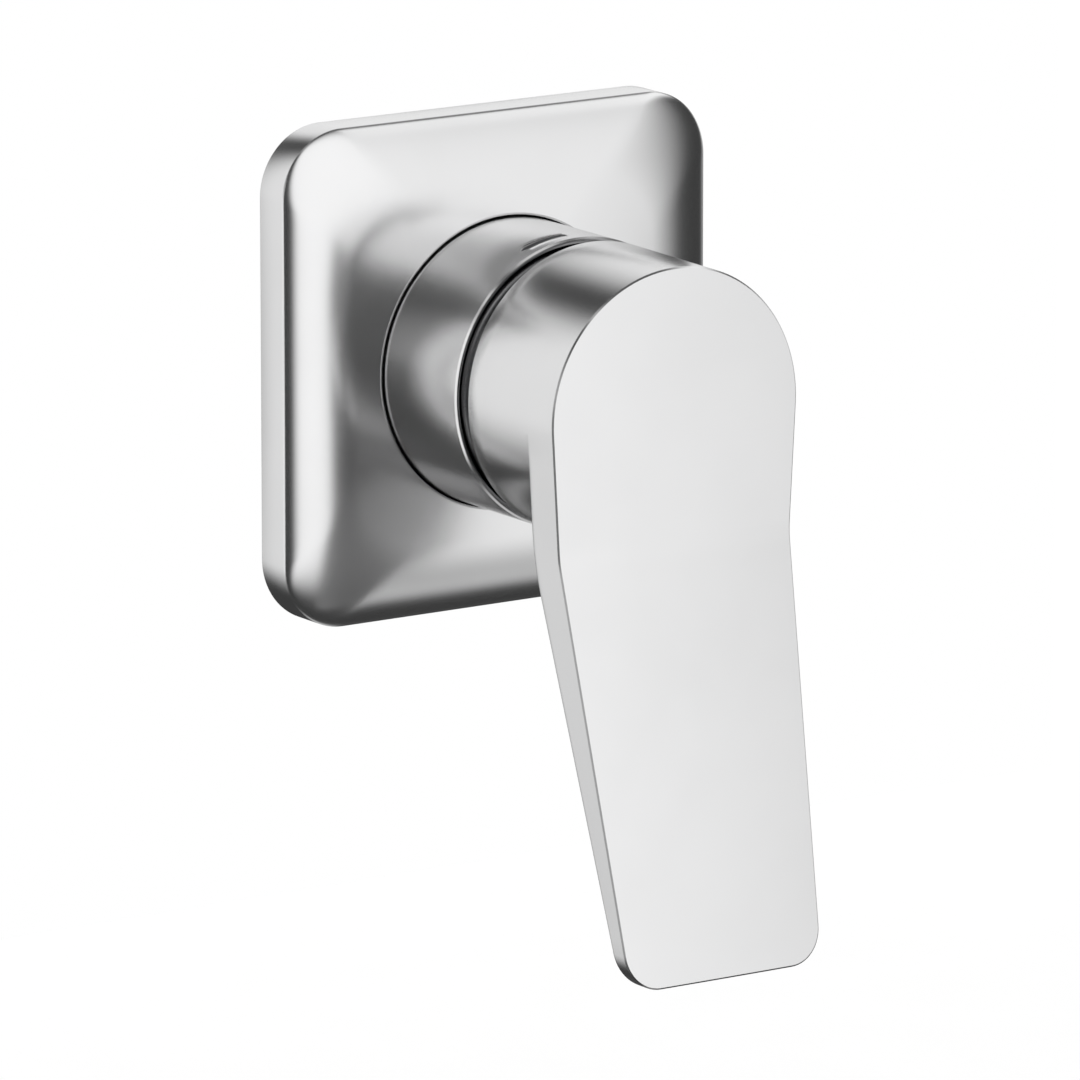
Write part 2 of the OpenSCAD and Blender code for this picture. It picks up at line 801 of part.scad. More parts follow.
// The lever seen from the front, below the axis: straight sides and an end with round corners
module lever_outline() {
    root_inset = 4;
    inner_half = head_front_r - root_inset;
    // Where a round corner touches the end: its centre is lever_corner_r from the side and the end
    corner_y = lever_corner_r - lever_reach;
    side_at_corner = touch_x - (corner_y - touch_y) * tan(side_turn);
    corner_x = side_at_corner - lever_corner_r / cos(side_turn);
    polygon([
        [inner_half, 0],
        [touch_x, touch_y],
        each arc([corner_x, corner_y], lever_corner_r, side_turn, -90, 10),
        each arc([-corner_x, corner_y], lever_corner_r, -90, -180 - side_turn, 10),
        [-touch_x, touch_y],
        [-inner_half, 0]
    ]);
}

// A bend between a stretch along Y and one that leans, as points of [up, out]
bend_steps = 8;
function bend(drop, z, lean, r) = [
    for (i = [0:bend_steps])
        let (
            a = lean * i / bend_steps,
            start = -drop + r * tan(lean / 2)
        )
            [start - r * sin(a), z + r * (1 - cos(a))]
];

// The lever seen from the side, as [up, out]: an upright root, then a face and a back that lean
module lever_profile() {
    tip_face_z = head_front_z + (lever_reach - face_bend_drop) * tan(lever_lean);
    tip_back_z = tip_face_z - lever_tip_t;
    back_lean = atan2(tip_back_z - lever_back_z, lever_reach - back_bend_drop);
    face = bend(face_bend_drop, head_front_z, lever_lean, face_bend_r);
    back = bend(back_bend_drop, lever_back_z, back_lean, back_bend_r);
    polygon([
        [0, head_front_z],
        each face,
        [-lever_reach, tip_face_z],
        [-lever_reach, tip_back_z],
        each [for (i = [len(back) - 1:-1:0]) back[i]],
        [0, lever_back_z]
    ]);
}

module lever_plate() {
    w = 4 * head_back_r;
    intersection() {
        linear_extrude(2 * head_front_z) lever_outline();
        translate([-w / 2, 0, 0]) rotate([90, 0, 90]) linear_extrude(w) lever_profile();
    }
}

// A round bar that points down from the axis at the grub screw's place
module down_bar(r, from_y, to_y) {
    translate([0, -from_y, grub_z]) rotate([90, 0, 0]) cylinder(r = r, h = to_y - from_y);
}

module handle() {
    socket_w = spindle_w + 2 * seat_gap;
    outside_y = head_back_r + cut;
    color("silver") on_wall() difference() {
        union() {
            difference() {
                union() {
                    translate([0, 0, head_back_z])
                        cylinder(r1 = head_back_r, r2 = head_front_r, h = head_len);
                    lever_plate();
                }
                translate([0, 0, pivot_z]) sphere(hollow_sphere_r);
                rod(head_bore_r, head_back_z - cut, head_bore_z);
            }
            rod(boss_r, boss_back_z, head_bore_z + cut);
            down_bar(tower_r, boss_r - cut, head_bore_r + cut);
        }
        translate([-socket_w / 2, -socket_w / 2, boss_back_z - cut])
            cube([socket_w, socket_w, socket_z - boss_back_z + cut]);
        down_bar(grub_r + seat_gap, 0, outside_y);
        down_bar(screw_cap_r + seat_gap, head_front_r - screw_cap_t, outside_y);
    }
}

module grub_screw() {
    hex_af = grub_r;
    hex_depth = 2;
    far_y = -grub_tip_y + grub_len;
    color("lightgray") on_wall() difference() {
        down_bar(grub_r, -grub_tip_y, far_y);
        translate([0, -far_y + hex_depth, grub_z]) rotate([90, 0, 0])
            hex_bar(hex_af, 0, hex_depth + cut);
    }
}

module screw_cap() {
    color("silver") on_wall()
        down_bar(screw_cap_r, head_front_r - screw_cap_t, head_front_r - slip_gap);
}

escutcheon_plate();
wall_gasket();
plate_oring();
cover_sleeve();
sleeve_oring();
dome_cap();
valve_body();
outlet_plug();
plug_seal();
cartridge_nut();
cartridge_housing();
cartridge_base();
base_seals();
disc_seals();
fixed_disc();
moving_disc();
disc_driver();
glide_ring();
spindle_carrier();
pivot_pin();
temperature_limiter();
spindle();
handle();
grub_screw();
screw_cap();
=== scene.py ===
"""Concealed single-lever mixer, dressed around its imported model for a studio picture.

Pieces are drawn in millimetres as (x, up, out), with out along the mixer's axis in front of the
wall, and on_wall() turns them into the frame's metres: (x, -out, up).
"""
import logging
import math
from dataclasses import dataclass
from enum import Enum
from typing import Callable

import bmesh
import bpy
import numpy as np
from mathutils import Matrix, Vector


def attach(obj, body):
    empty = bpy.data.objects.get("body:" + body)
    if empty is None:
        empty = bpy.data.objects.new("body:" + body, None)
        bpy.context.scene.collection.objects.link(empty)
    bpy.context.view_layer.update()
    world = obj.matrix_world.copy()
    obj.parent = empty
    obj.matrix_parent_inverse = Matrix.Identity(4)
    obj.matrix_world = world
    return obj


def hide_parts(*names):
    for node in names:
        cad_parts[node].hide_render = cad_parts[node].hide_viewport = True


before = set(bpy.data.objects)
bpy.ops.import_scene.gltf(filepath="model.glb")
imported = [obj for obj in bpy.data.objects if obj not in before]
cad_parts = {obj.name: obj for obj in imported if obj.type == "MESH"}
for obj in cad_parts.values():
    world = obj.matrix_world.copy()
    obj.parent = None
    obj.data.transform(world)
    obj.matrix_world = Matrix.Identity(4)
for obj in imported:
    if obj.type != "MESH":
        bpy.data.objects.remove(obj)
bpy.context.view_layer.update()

Array = np.ndarray
Object = bpy.types.Object

LOG = logging.getLogger("mixer")
MM = 0.001
DEGREES = 180 / math.pi
SAME_POINT = 1e-6
ROUND_STEPS = 4
CAD_SHARP_DEG = 30.0
EVEN = (1.0, 1.0, 1.0)
WHITE = (1.0, 1.0, 1.0, 1.0)


class Body(Enum):
    """The moving bodies that a piece can ride on."""

    TRIM = "body_and_trim"
    CARRIER = "carrier"
    LEVER = "lever"
    DISC = "mixing_disc"


class Space(Enum):
    """Where a texture takes its coordinates from."""

    OBJECT = "Object"
    DIRECTION = "Generated"


# Shader maths


class Sock:
    """A socket or number that takes part in shader maths through the usual operators."""

    def __init__(self, tree: "Tree", value: object) -> None:
        """Keeps the tree that gets the nodes, and the socket or number."""
        self.tree = tree
        self.value = value

    def _math(self, operation: str, *others: object) -> "Sock":
        """The result of a Math node on this and the other operands."""
        values = dict(enumerate((self, *others)))
        return self.tree.node("Math", {"operation": operation}, values)

    def __add__(self, other: object) -> "Sock":
        """Sum."""
        return self._math("ADD", other)

    __radd__ = __add__

    def __sub__(self, other: object) -> "Sock":
        """Difference."""
        return self._math("SUBTRACT", other)

    def __rsub__(self, other: object) -> "Sock":
        """Difference, from the other side."""
        return Sock(self.tree, other)._math("SUBTRACT", self)

    def __mul__(self, other: object) -> "Sock":
        """Product."""
        return self._math("MULTIPLY", other)

    __rmul__ = __mul__

    def __pow__(self, other: object) -> "Sock":
        """Power."""
        return self._math("POWER", other)

    def step(self, low: float, high: float, start: float = 0.0, end: float = 1.0) -> "Sock":
        """A smooth step from start to end as this value goes from low to high."""
        return self.tree.node("MapRange", {"interpolation_type": "SMOOTHSTEP"},
                              {0: self, 1: low, 2: high, 3: start, 4: end})

    def degrees_round(self, ahead: "Sock") -> "Sock":
        """The angle, in degrees, of a direction with this part to the side and that part ahead."""
        return self._math("ARCTAN2", ahead) * DEGREES

    def degrees_above(self) -> "Sock":
        """The elevation, in degrees, of a unit direction with this part upwards."""
        return self._math("ARCSINE") * DEGREES

    def least(self, other: object) -> "Sock":
        """The smaller of the two."""
        return self._math("MINIMUM", other)


class Tree:
    """Builds the nodes of one material or of the world."""

    def __init__(self, owner: object) -> None:
        """Empties the owner's node tree and keeps it."""
        owner.use_nodes = True
        self.tree = owner.node_tree
        self.tree.nodes.clear()

    def node(self, kind: str, settings: dict, inputs: dict, output: object = 0) -> Sock:
        """Adds one node.

        Args:
            kind: the node's type, without its prefix.
            settings: its attributes, set before its sockets.
            inputs: socket name or number to a value or a Sock.
            output: the name or number of the socket to give back.
        Returns:
            That output, or the node itself where it has none.
        """
        made = self.tree.nodes.new(f"ShaderNode{kind}")
        for key, value in settings.items():
            setattr(made, key, value)
        for key, value in inputs.items():
            plain = value.value if isinstance(value, Sock) else value
            if isinstance(plain, bpy.types.NodeSocket):
                self.tree.links.new(plain, made.inputs[key])
            else:
                made.inputs[key].default_value = plain
        return Sock(self, made.outputs[output] if made.outputs else made)

    def place(self, space: Space = Space.OBJECT, scale: tuple = EVEN) -> Sock:
        """Coordinates, stretched by scale.

        Args:
            space: which coordinates.
            scale: factors along X, Y and Z.
        Returns:
            A vector.
        """
        raw = self.node("TexCoord", {}, {}, space.value)
        if scale == EVEN:
            return raw
        return self.node("Mapping", {}, {"Vector": raw, "Scale": scale})

    def axes(self, vector: Sock) -> list:
        """The three parts of a vector."""
        split = self.node("SeparateXYZ", {}, {"Vector": vector})
        return [Sock(self, part) for part in split.value.node.outputs]

    def noise(self, scale: float, detail: float, stretch: tuple = EVEN) -> Sock:
        """Noise from 0 to 1 by features per metre, octaves and stretch along the axes."""
        inputs = {"Vector": self.place(scale=stretch), "Scale": scale, "Detail": detail}
        return self.node("TexNoise", {}, inputs, "Fac")

    def mix(self, factor: object, first: object, second: object) -> Sock:
        """Mixes two colours, 0 for the first and 1 for the second."""
        return self.node("Mix", {"data_type": "RGBA"}, {0: factor, 6: first, 7: second}, 2)

    def bump(self, height: Sock, distance: float, strength: float) -> Sock:
        """A normal from a height of 0 to 1 and the metres of relief at 1."""
        inputs = {"Height": height, "Distance": distance, "Strength": strength}
        return self.node("Bump", {}, inputs)

    def surface(self, colour: Sock, roughness: Sock, normal: Sock, metallic: float = 0.0) -> None:
        """Ends a material in a Principled surface."""
        inputs = {"Base Color": colour, "Roughness": roughness, "Normal": normal}
        self.end(self.node("BsdfPrincipled", {}, {"Metallic": metallic, **inputs}))

    def ray(self, kind: str) -> Sock:
        """1 for rays of a kind, 0 for others."""
        return self.node("LightPath", {}, {}, f"Is {kind} Ray")

    def blend(self, factor: object, first: Sock, second: Sock) -> Sock:
        """Mixes two shaders, 0 for the first and 1 for the second."""
        return self.node("MixShader", {}, {0: factor, 1: first, 2: second})

    def end(self, shader: Sock, kind: str = "Material") -> None:
        """Ends the tree in a shader."""
        self.node(f"Output{kind}", {}, {"Surface": shader})


def rgba(red: float, green: float, blue: float) -> tuple:
    """A colour with full alpha."""
    return red, green, blue, 1.0


def scaled(colour: tuple, factor: float) -> tuple:
    """A colour made darker or lighter by a factor."""
    return rgba(*(min(1.0, part * factor) for part in colour[:3]))


# Finishes


@dataclass(frozen=True)
class Finish:
    """A named material; each kind of finish paints it in its own way."""

    name: str

    def build(self) -> bpy.types.Material:
        """Makes the material.

        Returns:
            The material.
        """
        material = bpy.data.materials.new(self.name)
        self.paint(Tree(material))
        return material

    def paint(self, t: Tree) -> None:
        """Builds the material's nodes."""
        raise NotImplementedError


@dataclass(frozen=True)
class Chrome(Finish):
    """Bright chrome plate with a faint haze and very fine polishing lines."""

    colour: tuple = rgba(0.85, 0.85, 0.853)
    roughness: float = 0.2
    haze: float = 0.03
    engraved: bool = False

    def paint(self, t: Tree) -> None:
        """Haze and lines; engraved places are darker and duller by the mesh's own attribute.

        Args:
            t: the material's tree.
        """
        cloud = t.noise(55.0, 3.0)
        fine = t.noise(2600.0, 2.0)
        rough = self.roughness + self.haze * (cloud - 0.5) + 0.012 * (fine - 0.5)
        colour = t.mix(cloud.step(0.35, 0.75), self.colour, scaled(self.colour, 0.985))
        if self.engraved:
            mark = t.node("Attribute", {"attribute_name": "engraved"}, {}, "Fac")
            colour = t.mix(mark, colour, rgba(0.10, 0.10, 0.105))
            rough = rough + 0.25 * mark
        wave = t.noise(420.0, 1.0)
        t.surface(
            colour=colour,
            metallic=1.0,
            roughness=rough,
            normal=t.bump(wave * 0.7 + fine * 0.3, 0.000004, 0.35),
        )


@dataclass(frozen=True)
class Brass(Finish):
    """Brass, either blasted as cast or turned, with stains where it has stood."""

    colour: tuple = rgba(0.86, 0.66, 0.34)
    roughness: float = 0.4
    grain: float = 1700.0
    relief: float = 0.00005

    def paint(self, t: Tree) -> None:
        """Stains, and bright tops on the grain.

        Args:
            t: the material's tree.
        """
        stain = t.noise(38.0, 5.0)
        grain = t.noise(self.grain, 3.0)
        colour = t.mix(stain.step(0.35, 0.7), self.colour, scaled(self.colour, 0.84))
        t.surface(
            colour=t.mix(grain.step(0.55, 0.8) * 0.35, colour, rgba(0.93, 0.77, 0.47)),
            metallic=1.0,
            roughness=self.roughness + 0.18 * (stain - 0.5) + 0.12 * (grain - 0.5),
            normal=t.bump(grain, self.relief, 0.6),
        )


@dataclass(frozen=True)
class TurnedBrass(Finish):
    """Brass as it leaves the lathe: fine rings along one axis, 0 for X to 2 for Z."""

    along: int
    colour: tuple = rgba(0.90, 0.72, 0.40)
    roughness: float = 0.24

    def paint(self, t: Tree) -> None:
        """Rings, cut by a noise that is squeezed along the axis, and stains.

        Args:
            t: the material's tree.
        """
        stretch = tuple(1.0 if axis == self.along else 0.02 for axis in range(3))
        rings = t.noise(5200.0, 2.0, stretch)
        stain = t.noise(60.0, 4.0)
        t.surface(
            colour=t.mix(stain.step(0.4, 0.75), self.colour, scaled(self.colour, 0.82)),
            metallic=1.0,
            roughness=self.roughness + 0.14 * (rings - 0.5) + 0.10 * (stain - 0.5),
            normal=t.bump(rings, 0.000012, 0.7),
        )


@dataclass(frozen=True)
class Moulded(Finish):
    """Moulded plastic: one colour, a fine spark-eroded grain and faint flow marks."""

    colour: tuple
    roughness: float = 0.45

    def paint(self, t: Tree) -> None:
        """Grain and flow marks.

        Args:
            t: the material's tree.
        """
        grain = t.noise(3200.0, 2.0)
        flow = t.noise(70.0, 2.0, (1.0, 0.3, 1.0))
        t.surface(
            colour=t.mix(flow.step(0.3, 0.8), self.colour, scaled(self.colour, 0.9)),
            roughness=self.roughness + 0.12 * (grain - 0.5) + 0.08 * (flow - 0.5),
            normal=t.bump(grain, 0.00002, 0.6),
        )


@dataclass(frozen=True)
class Rubber(Finish):
    """Moulded rubber or, with pores, closed-cell foam."""

    colour: tuple
    pores: float = 0.0

    def paint(self, t: Tree) -> None:
        """A fine dusty bloom, and round pores where there are any.

        Args:
            t: the material's tree.
        """
        bloom = t.noise(240.0, 4.0)
        height = t.noise(2400.0, 2.0)
        colour = t.mix(bloom.step(0.4, 0.8), self.colour, scaled(self.colour, 1.6))
        if self.pores:
            cells = t.node("TexVoronoi", {}, {"Vector": t.place(), "Scale": 1500.0}, "Distance")
            # One mask sinks the pores for the bump and paints their insides darker: real relief
            # plus painted shade in the cells.
            pore_depth_and_shade = cells.step(0.15, 0.5)
            height = height * 0.3 + pore_depth_and_shade * 0.7
            colour = t.mix((1.0 - pore_depth_and_shade) * self.pores, colour, scaled(self.colour, 0.35))
        t.surface(
            colour=colour,
            roughness=0.58 + 0.2 * (bloom - 0.5),
            normal=t.bump(height, 0.00008 if self.pores else 0.00001, 0.8),
        )


@dataclass(frozen=True)
class Fibre(Finish):
    """Pressed fibre: short strands in a binder."""

    colour: tuple = rgba(0.42, 0.10, 0.07)

    def paint(self, t: Tree) -> None:
        """Strands, paler than the binder."""
        strands = t.noise(2200.0, 4.0, (1.0, 0.25, 0.4))
        t.surface(
            colour=t.mix(strands.step(0.4, 0.65), self.colour, rgba(0.58, 0.22, 0.15)),
            roughness=0.7 + 0.15 * (strands - 0.5),
            normal=t.bump(strands, 0.00005, 0.7),
        )


@dataclass(frozen=True)
class Ceramic(Finish):
    """Lapped alumina: almost white, smooth, with a faint mottle."""

    colour: tuple = rgba(0.90, 0.885, 0.83)

    def paint(self, t: Tree) -> None:
        """The mottle."""
        mottle = t.noise(900.0, 4.0)
        t.surface(
            colour=t.mix(mottle.step(0.4, 0.7), self.colour, scaled(self.colour, 0.93)),
            roughness=0.16 + 0.08 * (mottle - 0.5),
            normal=t.bump(mottle, 0.000004, 0.5),
        )


@dataclass(frozen=True)
class GroundSteel(Finish):
    """Stainless steel ground along its length."""

    colour: tuple = rgba(0.58, 0.58, 0.585)

    def paint(self, t: Tree) -> None:
        """The lines left by grinding."""
        lines = t.noise(4800.0, 2.0, (0.05, 1.0, 1.0))
        t.surface(
            colour=t.mix(lines.step(0.3, 0.7), self.colour, scaled(self.colour, 0.85)),
            metallic=1.0,
            roughness=0.24 + 0.14 * (lines - 0.5),
            normal=t.bump(lines, 0.000008, 0.6),
        )


# Surfaces


def on_wall(points: Array) -> Array:
    """Turns points (x, up, out) in millimetres into the frame's metres, (x, -out, up)."""
    x, up, out = points[..., 0], points[..., 1], points[..., 2]
    return np.stack([x, -out, up], axis=-1) * MM


class Shell:
    """Grids of points that are welded into one closed mesh."""

    def __init__(self) -> None:
        """Starts with no grid."""
        self.points: list = []
        self.marks: list = []
        self.faces: list = []
        self.count = 0

    def grid(self, points: object, around: bool = True, loop: bool = False,
             mark: Array = None) -> "Shell":
        """Adds a grid of quads.

        Args:
            points: rows x columns x 3, in (x, up, out).
            around: whether the last column joins the first.
            loop: whether the last row joins the first.
            mark: rows x columns, how far each point is engraved.
        Returns:
            The shell itself.
        """
        points = np.asarray(points)
        rows, columns = points.shape[:2]
        index = np.arange(rows * columns).reshape(rows, columns) + self.count
        if around:
            index = np.concatenate([index, index[:, :1]], axis=1)
        if loop:
            index = np.concatenate([index, index[:1]], axis=0)
        quads = np.stack([index[:-1, :-1], index[:-1, 1:], index[1:, 1:], index[1:, :-1]], axis=-1)
        self.points.append(points.reshape(-1, 3))
        self.marks.append(np.zeros(rows * columns) if mark is None else mark.reshape(-1))
        self.faces.append(quads.reshape(-1, 4))
        self.count += rows * columns
        return self

    def build(self, name: str, sharp_deg: float = 40.0) -> Object:
        """Welds the grids and turns every face outwards.

        Args:
            name: the piece's name.
            sharp_deg: edges that turn by more than this stay sharp.
        Returns:
            The piece, at the origin.
        """
        mesh = bpy.data.meshes.new(name)
        mesh.from_pydata(on_wall(np.concatenate(self.points)).tolist(), [],
                         np.concatenate(self.faces).tolist())
        layer = mesh.attributes.new("engraved", "FLOAT", "POINT")
        layer.data.foreach_set("value", np.concatenate(self.marks).astype(np.float32))
        crease(mesh, sharp_deg, weld)
        return linked(name, mesh)


def linked(name: str, data: object) -> Object:
    """Puts a new object into the scene, at the origin.

    Args:
        name: its name.
        data: its mesh, camera or lamp.
    Returns:
        The object.
    """
    thing = bpy.data.objects.new(name, data)
    bpy.context.scene.collection.objects.link(thing)
    return thing


def weld(work: bmesh.types.BMesh) -> None:
    """Drops faces with no area and turns the others outwards."""
    bmesh.ops.dissolve_degenerate(work, edges=work.edges, dist=SAME_POINT)
    bmesh.ops.recalc_face_normals(work, faces=work.faces)


def flatten(work: bmesh.types.BMesh) -> None:
    """Makes one face of the triangles that lie in one plane."""
    bmesh.ops.dissolve_limit(work, angle_limit=math.radians(0.2), verts=work.verts,
                             edges=work.edges)


def crease(mesh: bpy.types.Mesh, sharp_deg: float, clean: Callable = None) -> None:
    """Shades a mesh smoothly, but for edges that turn by more than an angle.

    Args:
        mesh: the mesh, changed in place.
        sharp_deg: edges that turn by more than this stay sharp.
        clean: what is done to its faces first, after its doubles are merged.
    """
    work = bmesh.new()
    work.from_mesh(mesh)
    if clean:
        bmesh.ops.remove_doubles(work, verts=work.verts, dist=SAME_POINT)
        clean(work)
    limit = math.radians(sharp_deg)
    for face in work.faces:
        face.smooth = True
    for edge in work.edges:
        edge.smooth = len(edge.link_faces) == 2 and edge.calc_face_angle(0.0) < limit
    work.to_mesh(mesh)
    work.free()


def ring(radius: object, out: object, angle: Array) -> Array:
    """A row of points round the axis: (radius cos angle, radius sin angle, out)."""
    flat = [radius * np.cos(angle), radius * np.sin(angle)]
    return np.stack([*flat, np.broadcast_to(out, angle.shape)], axis=-1)


def rings(angle: Array, *profile: tuple) -> list:
    """Rows of points round the axis, one for each (radius, out) of a profile."""
    return [ring(radius, out, angle) for radius, out in profile]


def fillet(steps: int) -> tuple:
    """A quarter round as fractions of its radius: 1 - cos and 1 - sin, 0 to 90 degrees."""
    turn = np.linspace(0.0, math.pi / 2, steps + 1)
    return 1.0 - np.cos(turn), 1.0 - np.sin(turn)


def square_reach(angle: Array, half: float, corner: float) -> Array:
    """Distance from the axis to a round-cornered square, along each angle.

    On a flat side it is half / max(|cos|, |sin|). On a corner it is the far root of the
    circle of radius corner about (half - corner, half - corner).

    Args:
        angle: the angles.
        half: half the square's width.
        corner: radius of its corners.
    Returns:
        The distances.
    """
    c, s = np.abs(np.cos(angle)), np.abs(np.sin(angle))
    flat = half / np.maximum(c, s)
    k = half - corner
    root = np.maximum((k * (c + s)) ** 2 - 2 * k * k + corner * corner, 0.0)
    round_ = k * (c + s) + np.sqrt(root)
    return np.where(np.minimum(c, s) * flat > k, round_, flat)


def dressed(piece: Object, body: Body, finish: Finish, *nodes: str) -> Object:
    """Gives a new piece its finish and its body, and lets it stand for CAD nodes.

    Args:
        piece: the new piece.
        body: the body that it rides on.
        finish: its finish.
        nodes: the CAD nodes that it replaces.
    Returns:
        The same piece.
    """
    piece.data.materials.clear()
    piece.data.materials.append(finish.build())
    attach(piece, body.value)
    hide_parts(*nodes)
    LOG.info("%s on %s: %d faces", piece.name, body.value, len(piece.data.polygons))
    return piece


# The trim


@dataclass
class WallPlate:
    """The crowned square plate, with its rounded band, hole, groove and collar."""

    half: float = 40.0
    corner: float = 11.0
    skirt: float = 6.5
    rise: float = 2.3
    band: float = 12.0
    crown: float = 1.55
    power: float = 0.7
    wall: float = 1.6
    hole_r: float = 23.62
    hole_edge: float = 0.3
    groove_r: float = 25.5
    groove: tuple = (3.6, 5.8)
    collar_r: float = 27.3
    collar_back: float = 1.4
    back_edge: float = 0.2
    chamfer: float = 0.22
    flat_steps: int = 40
    corner_steps: int = 28
    face_steps: int = 60
    underside_steps: int = 24

    def angles(self) -> Array:
        """Angles round the plate, closer together at its corners.

        Returns:
            The angles, from the middle of the right side.
        """
        turn = math.atan2(self.half - self.corner, self.half)
        flat = np.linspace(-turn, turn, self.flat_steps + 1)[:-1]
        bend = np.linspace(turn, math.pi / 2 - turn, self.corner_steps + 1)[:-1]
        quarter = np.concatenate([flat, bend])
        return np.concatenate([quarter + q * math.pi / 2 for q in range(4)])

    def inset(self, x: Array, y: Array) -> Array:
        """How far a point lies inside the plate's outline.

        The outlines inside the edge keep its corner radius r. A point on the corner of the
        outline whose corner centres lie at (s, s) satisfies (|x| - s)^2 + (|y| - s)^2 = r^2,
        and one on a flat side has s = max(|x|, |y|) - r. The inset is (half - r) - s.

        Args:
            x: distances to the right.
            y: distances up.
        Returns:
            The insets.
        """
        a, b = np.abs(x), np.abs(y)
        gap = np.minimum(np.abs(a - b), self.corner)
        corner = (a + b - np.sqrt(2 * self.corner ** 2 - gap ** 2)) / 2
        flat = np.maximum(a, b) - self.corner
        s = np.where(np.abs(a - b) < self.corner, corner, flat)
        return np.maximum(self.half - self.corner - s, 0.0)

    def height(self, inset: Array) -> Array:
        """Height of the face: the skirt, a rounded band that ends level, and the crown.

        With i the inset and w the band's width, the band rises by (1 - (1 - i / w)^2)^power,
        and the crown by 1 - (1 - i / half)^2.

        Args:
            inset: how far inside the outline.
        Returns:
            The heights.
        """
        near = 1 - (1 - np.minimum(inset / self.band, 1.0)) ** 2
        across = 1 - (1 - inset / self.half) ** 2
        return self.skirt + self.rise * near ** self.power + self.crown * across

    def face(self, angle: Array, radius: Array, shrink: float = 0.0) -> Array:
        """One row of points on the face, or on its underside shrink behind it.

        Args:
            angle: the angles.
            radius: the distance from the axis at each.
            shrink: the wall's thickness, for the underside.
        Returns:
            The row.
        """
        x, y = radius * np.cos(angle), radius * np.sin(angle)
        out = self.height(np.maximum(self.inset(x, y) - shrink, 0.0)) - shrink
        return np.stack([x, y, out], axis=-1)

    def build(self) -> Object:
        """The plate as one closed loop of rows carried round the axis.

        Returns:
            The piece.
        """
        a = self.angles()
        edge = square_reach(a, self.half, self.corner)
        inner = square_reach(a, self.half - self.wall, self.corner)
        hole = self.hole_r + self.hole_edge
        start = edge - self.chamfer
        rows = [ring(edge, self.height(np.array(self.chamfer)) - self.chamfer, a)]
        rows += [self.face(a, start + (hole - start) * t)
                 for t in np.linspace(0.0, 1.0, self.face_steps + 1) ** 2]
        lip = rows[-1][:, 2]
        near, far = fillet(ROUND_STEPS)
        rows += rings(a, *((self.hole_r + self.hole_edge * n, lip - self.hole_edge * (1 - f))
                           for n, f in zip(near[-2::-1], far[-2::-1])))
        back, front = self.groove
        rows += rings(a, (self.hole_r, front), (self.groove_r, front), (self.groove_r, back),
                      (self.hole_r, back), (self.hole_r, self.collar_back),
                      (self.collar_r, self.collar_back))
        rows += [self.face(a, self.collar_r + (inner - self.collar_r) * t, self.wall)
                 for t in np.linspace(0.0, 1.0, self.underside_steps + 1) ** 0.6]
        rows += rings(a, (inner, self.back_edge),
                      *((inner + self.back_edge * (1 - f), self.back_edge * f) for f in far),
                      *((edge - self.back_edge * f, self.back_edge * n)
                        for n, f in zip(near, far)))
        piece = Shell().grid(rows, loop=True).build("wall_plate")
        return dressed(piece, Body.TRIM, Chrome("chrome_plate"), "escutcheon_plate")


@dataclass
class CoverSleeve:
    """The round sleeve with its chamfered rim and the engraved index line."""

    radius: float = 23.3
    bore: float = 22.1
    back: float = -3.0
    front: float = 30.4
    chamfer: float = 0.28
    lip_r: float = 22.75
    ledge_r: float = 22.3
    ledge_depth: float = 0.45
    ledge_fall: float = 0.08
    line_out: float = 27.1
    line_w: float = 1.5
    line_depth: float = 0.15
    line_from: float = 91.0
    line_to: float = 112.5
    line_point: float = 3.0
    line_start: float = 0.4
    line_soft: float = 0.12
    line_margin: float = 0.85
    line_steps: int = 28
    fine_deg: float = 0.25
    coarse_deg: float = 1.5
    sharp_deg: float = 25.0

    def engraved(self, angle: Array, out: Array) -> Array:
        """How deep the index line is, from 0 to 1: full across its width, pointed at its left end.

        Args:
            angle: in degrees.
            out: places along the axis.
        Returns:
            The depth on the grid of the two.
        """
        reach = np.clip((self.line_to - angle) / self.line_point, 0.0, 1.0)
        start = np.clip((angle - self.line_from) / self.line_start, 0.0, 1.0)
        half = self.line_w / 2 * np.minimum(reach, start)
        inside = half - np.abs(out - self.line_out)
        return np.clip(inside / self.line_soft + 0.5, 0.0, 1.0) * (half > 0)

    def build(self) -> Object:
        """The sleeve as a closed profile carried round the axis, its line pressed in.

        Returns:
            The piece.
        """
        fine = np.arange(self.line_from - 2, self.line_to + 2, self.fine_deg)
        coarse = np.arange(fine[-1] + self.coarse_deg, fine[0] + 359, self.coarse_deg)
        degrees = np.concatenate([fine, coarse])
        a = np.radians(degrees)
        rim = self.front - self.chamfer
        outs = np.concatenate([
            [self.back, 0.0, 5.0, 10.0, 15.0, 20.0, 25.0],
            np.linspace(self.line_out - self.line_margin, self.line_out + self.line_margin,
                        self.line_steps + 1),
            [29.0, rim - 0.05],
        ])
        depth = self.engraved(degrees[None, :], outs[:, None])
        rows = [ring(self.radius - self.line_depth * d, out, a) for d, out in zip(depth, outs)]
        ledge = self.front - self.ledge_depth
        foot = ledge - self.ledge_fall
        rows += rings(a, (self.radius, rim), (self.radius - self.chamfer, self.front),
                      (self.lip_r, self.front), (self.lip_r, ledge), (self.ledge_r, foot),
                      (self.bore, foot - (self.ledge_r - self.bore)), (self.bore, 15.0),
                      (self.bore, self.back))
        marks = np.zeros((len(rows), len(a)))
        marks[:len(depth)] = depth
        piece = Shell().grid(rows, loop=True, mark=marks).build("sleeve", self.sharp_deg)
        return dressed(piece, Body.TRIM, Chrome("chrome_sleeve", engraved=True), "cover_sleeve")


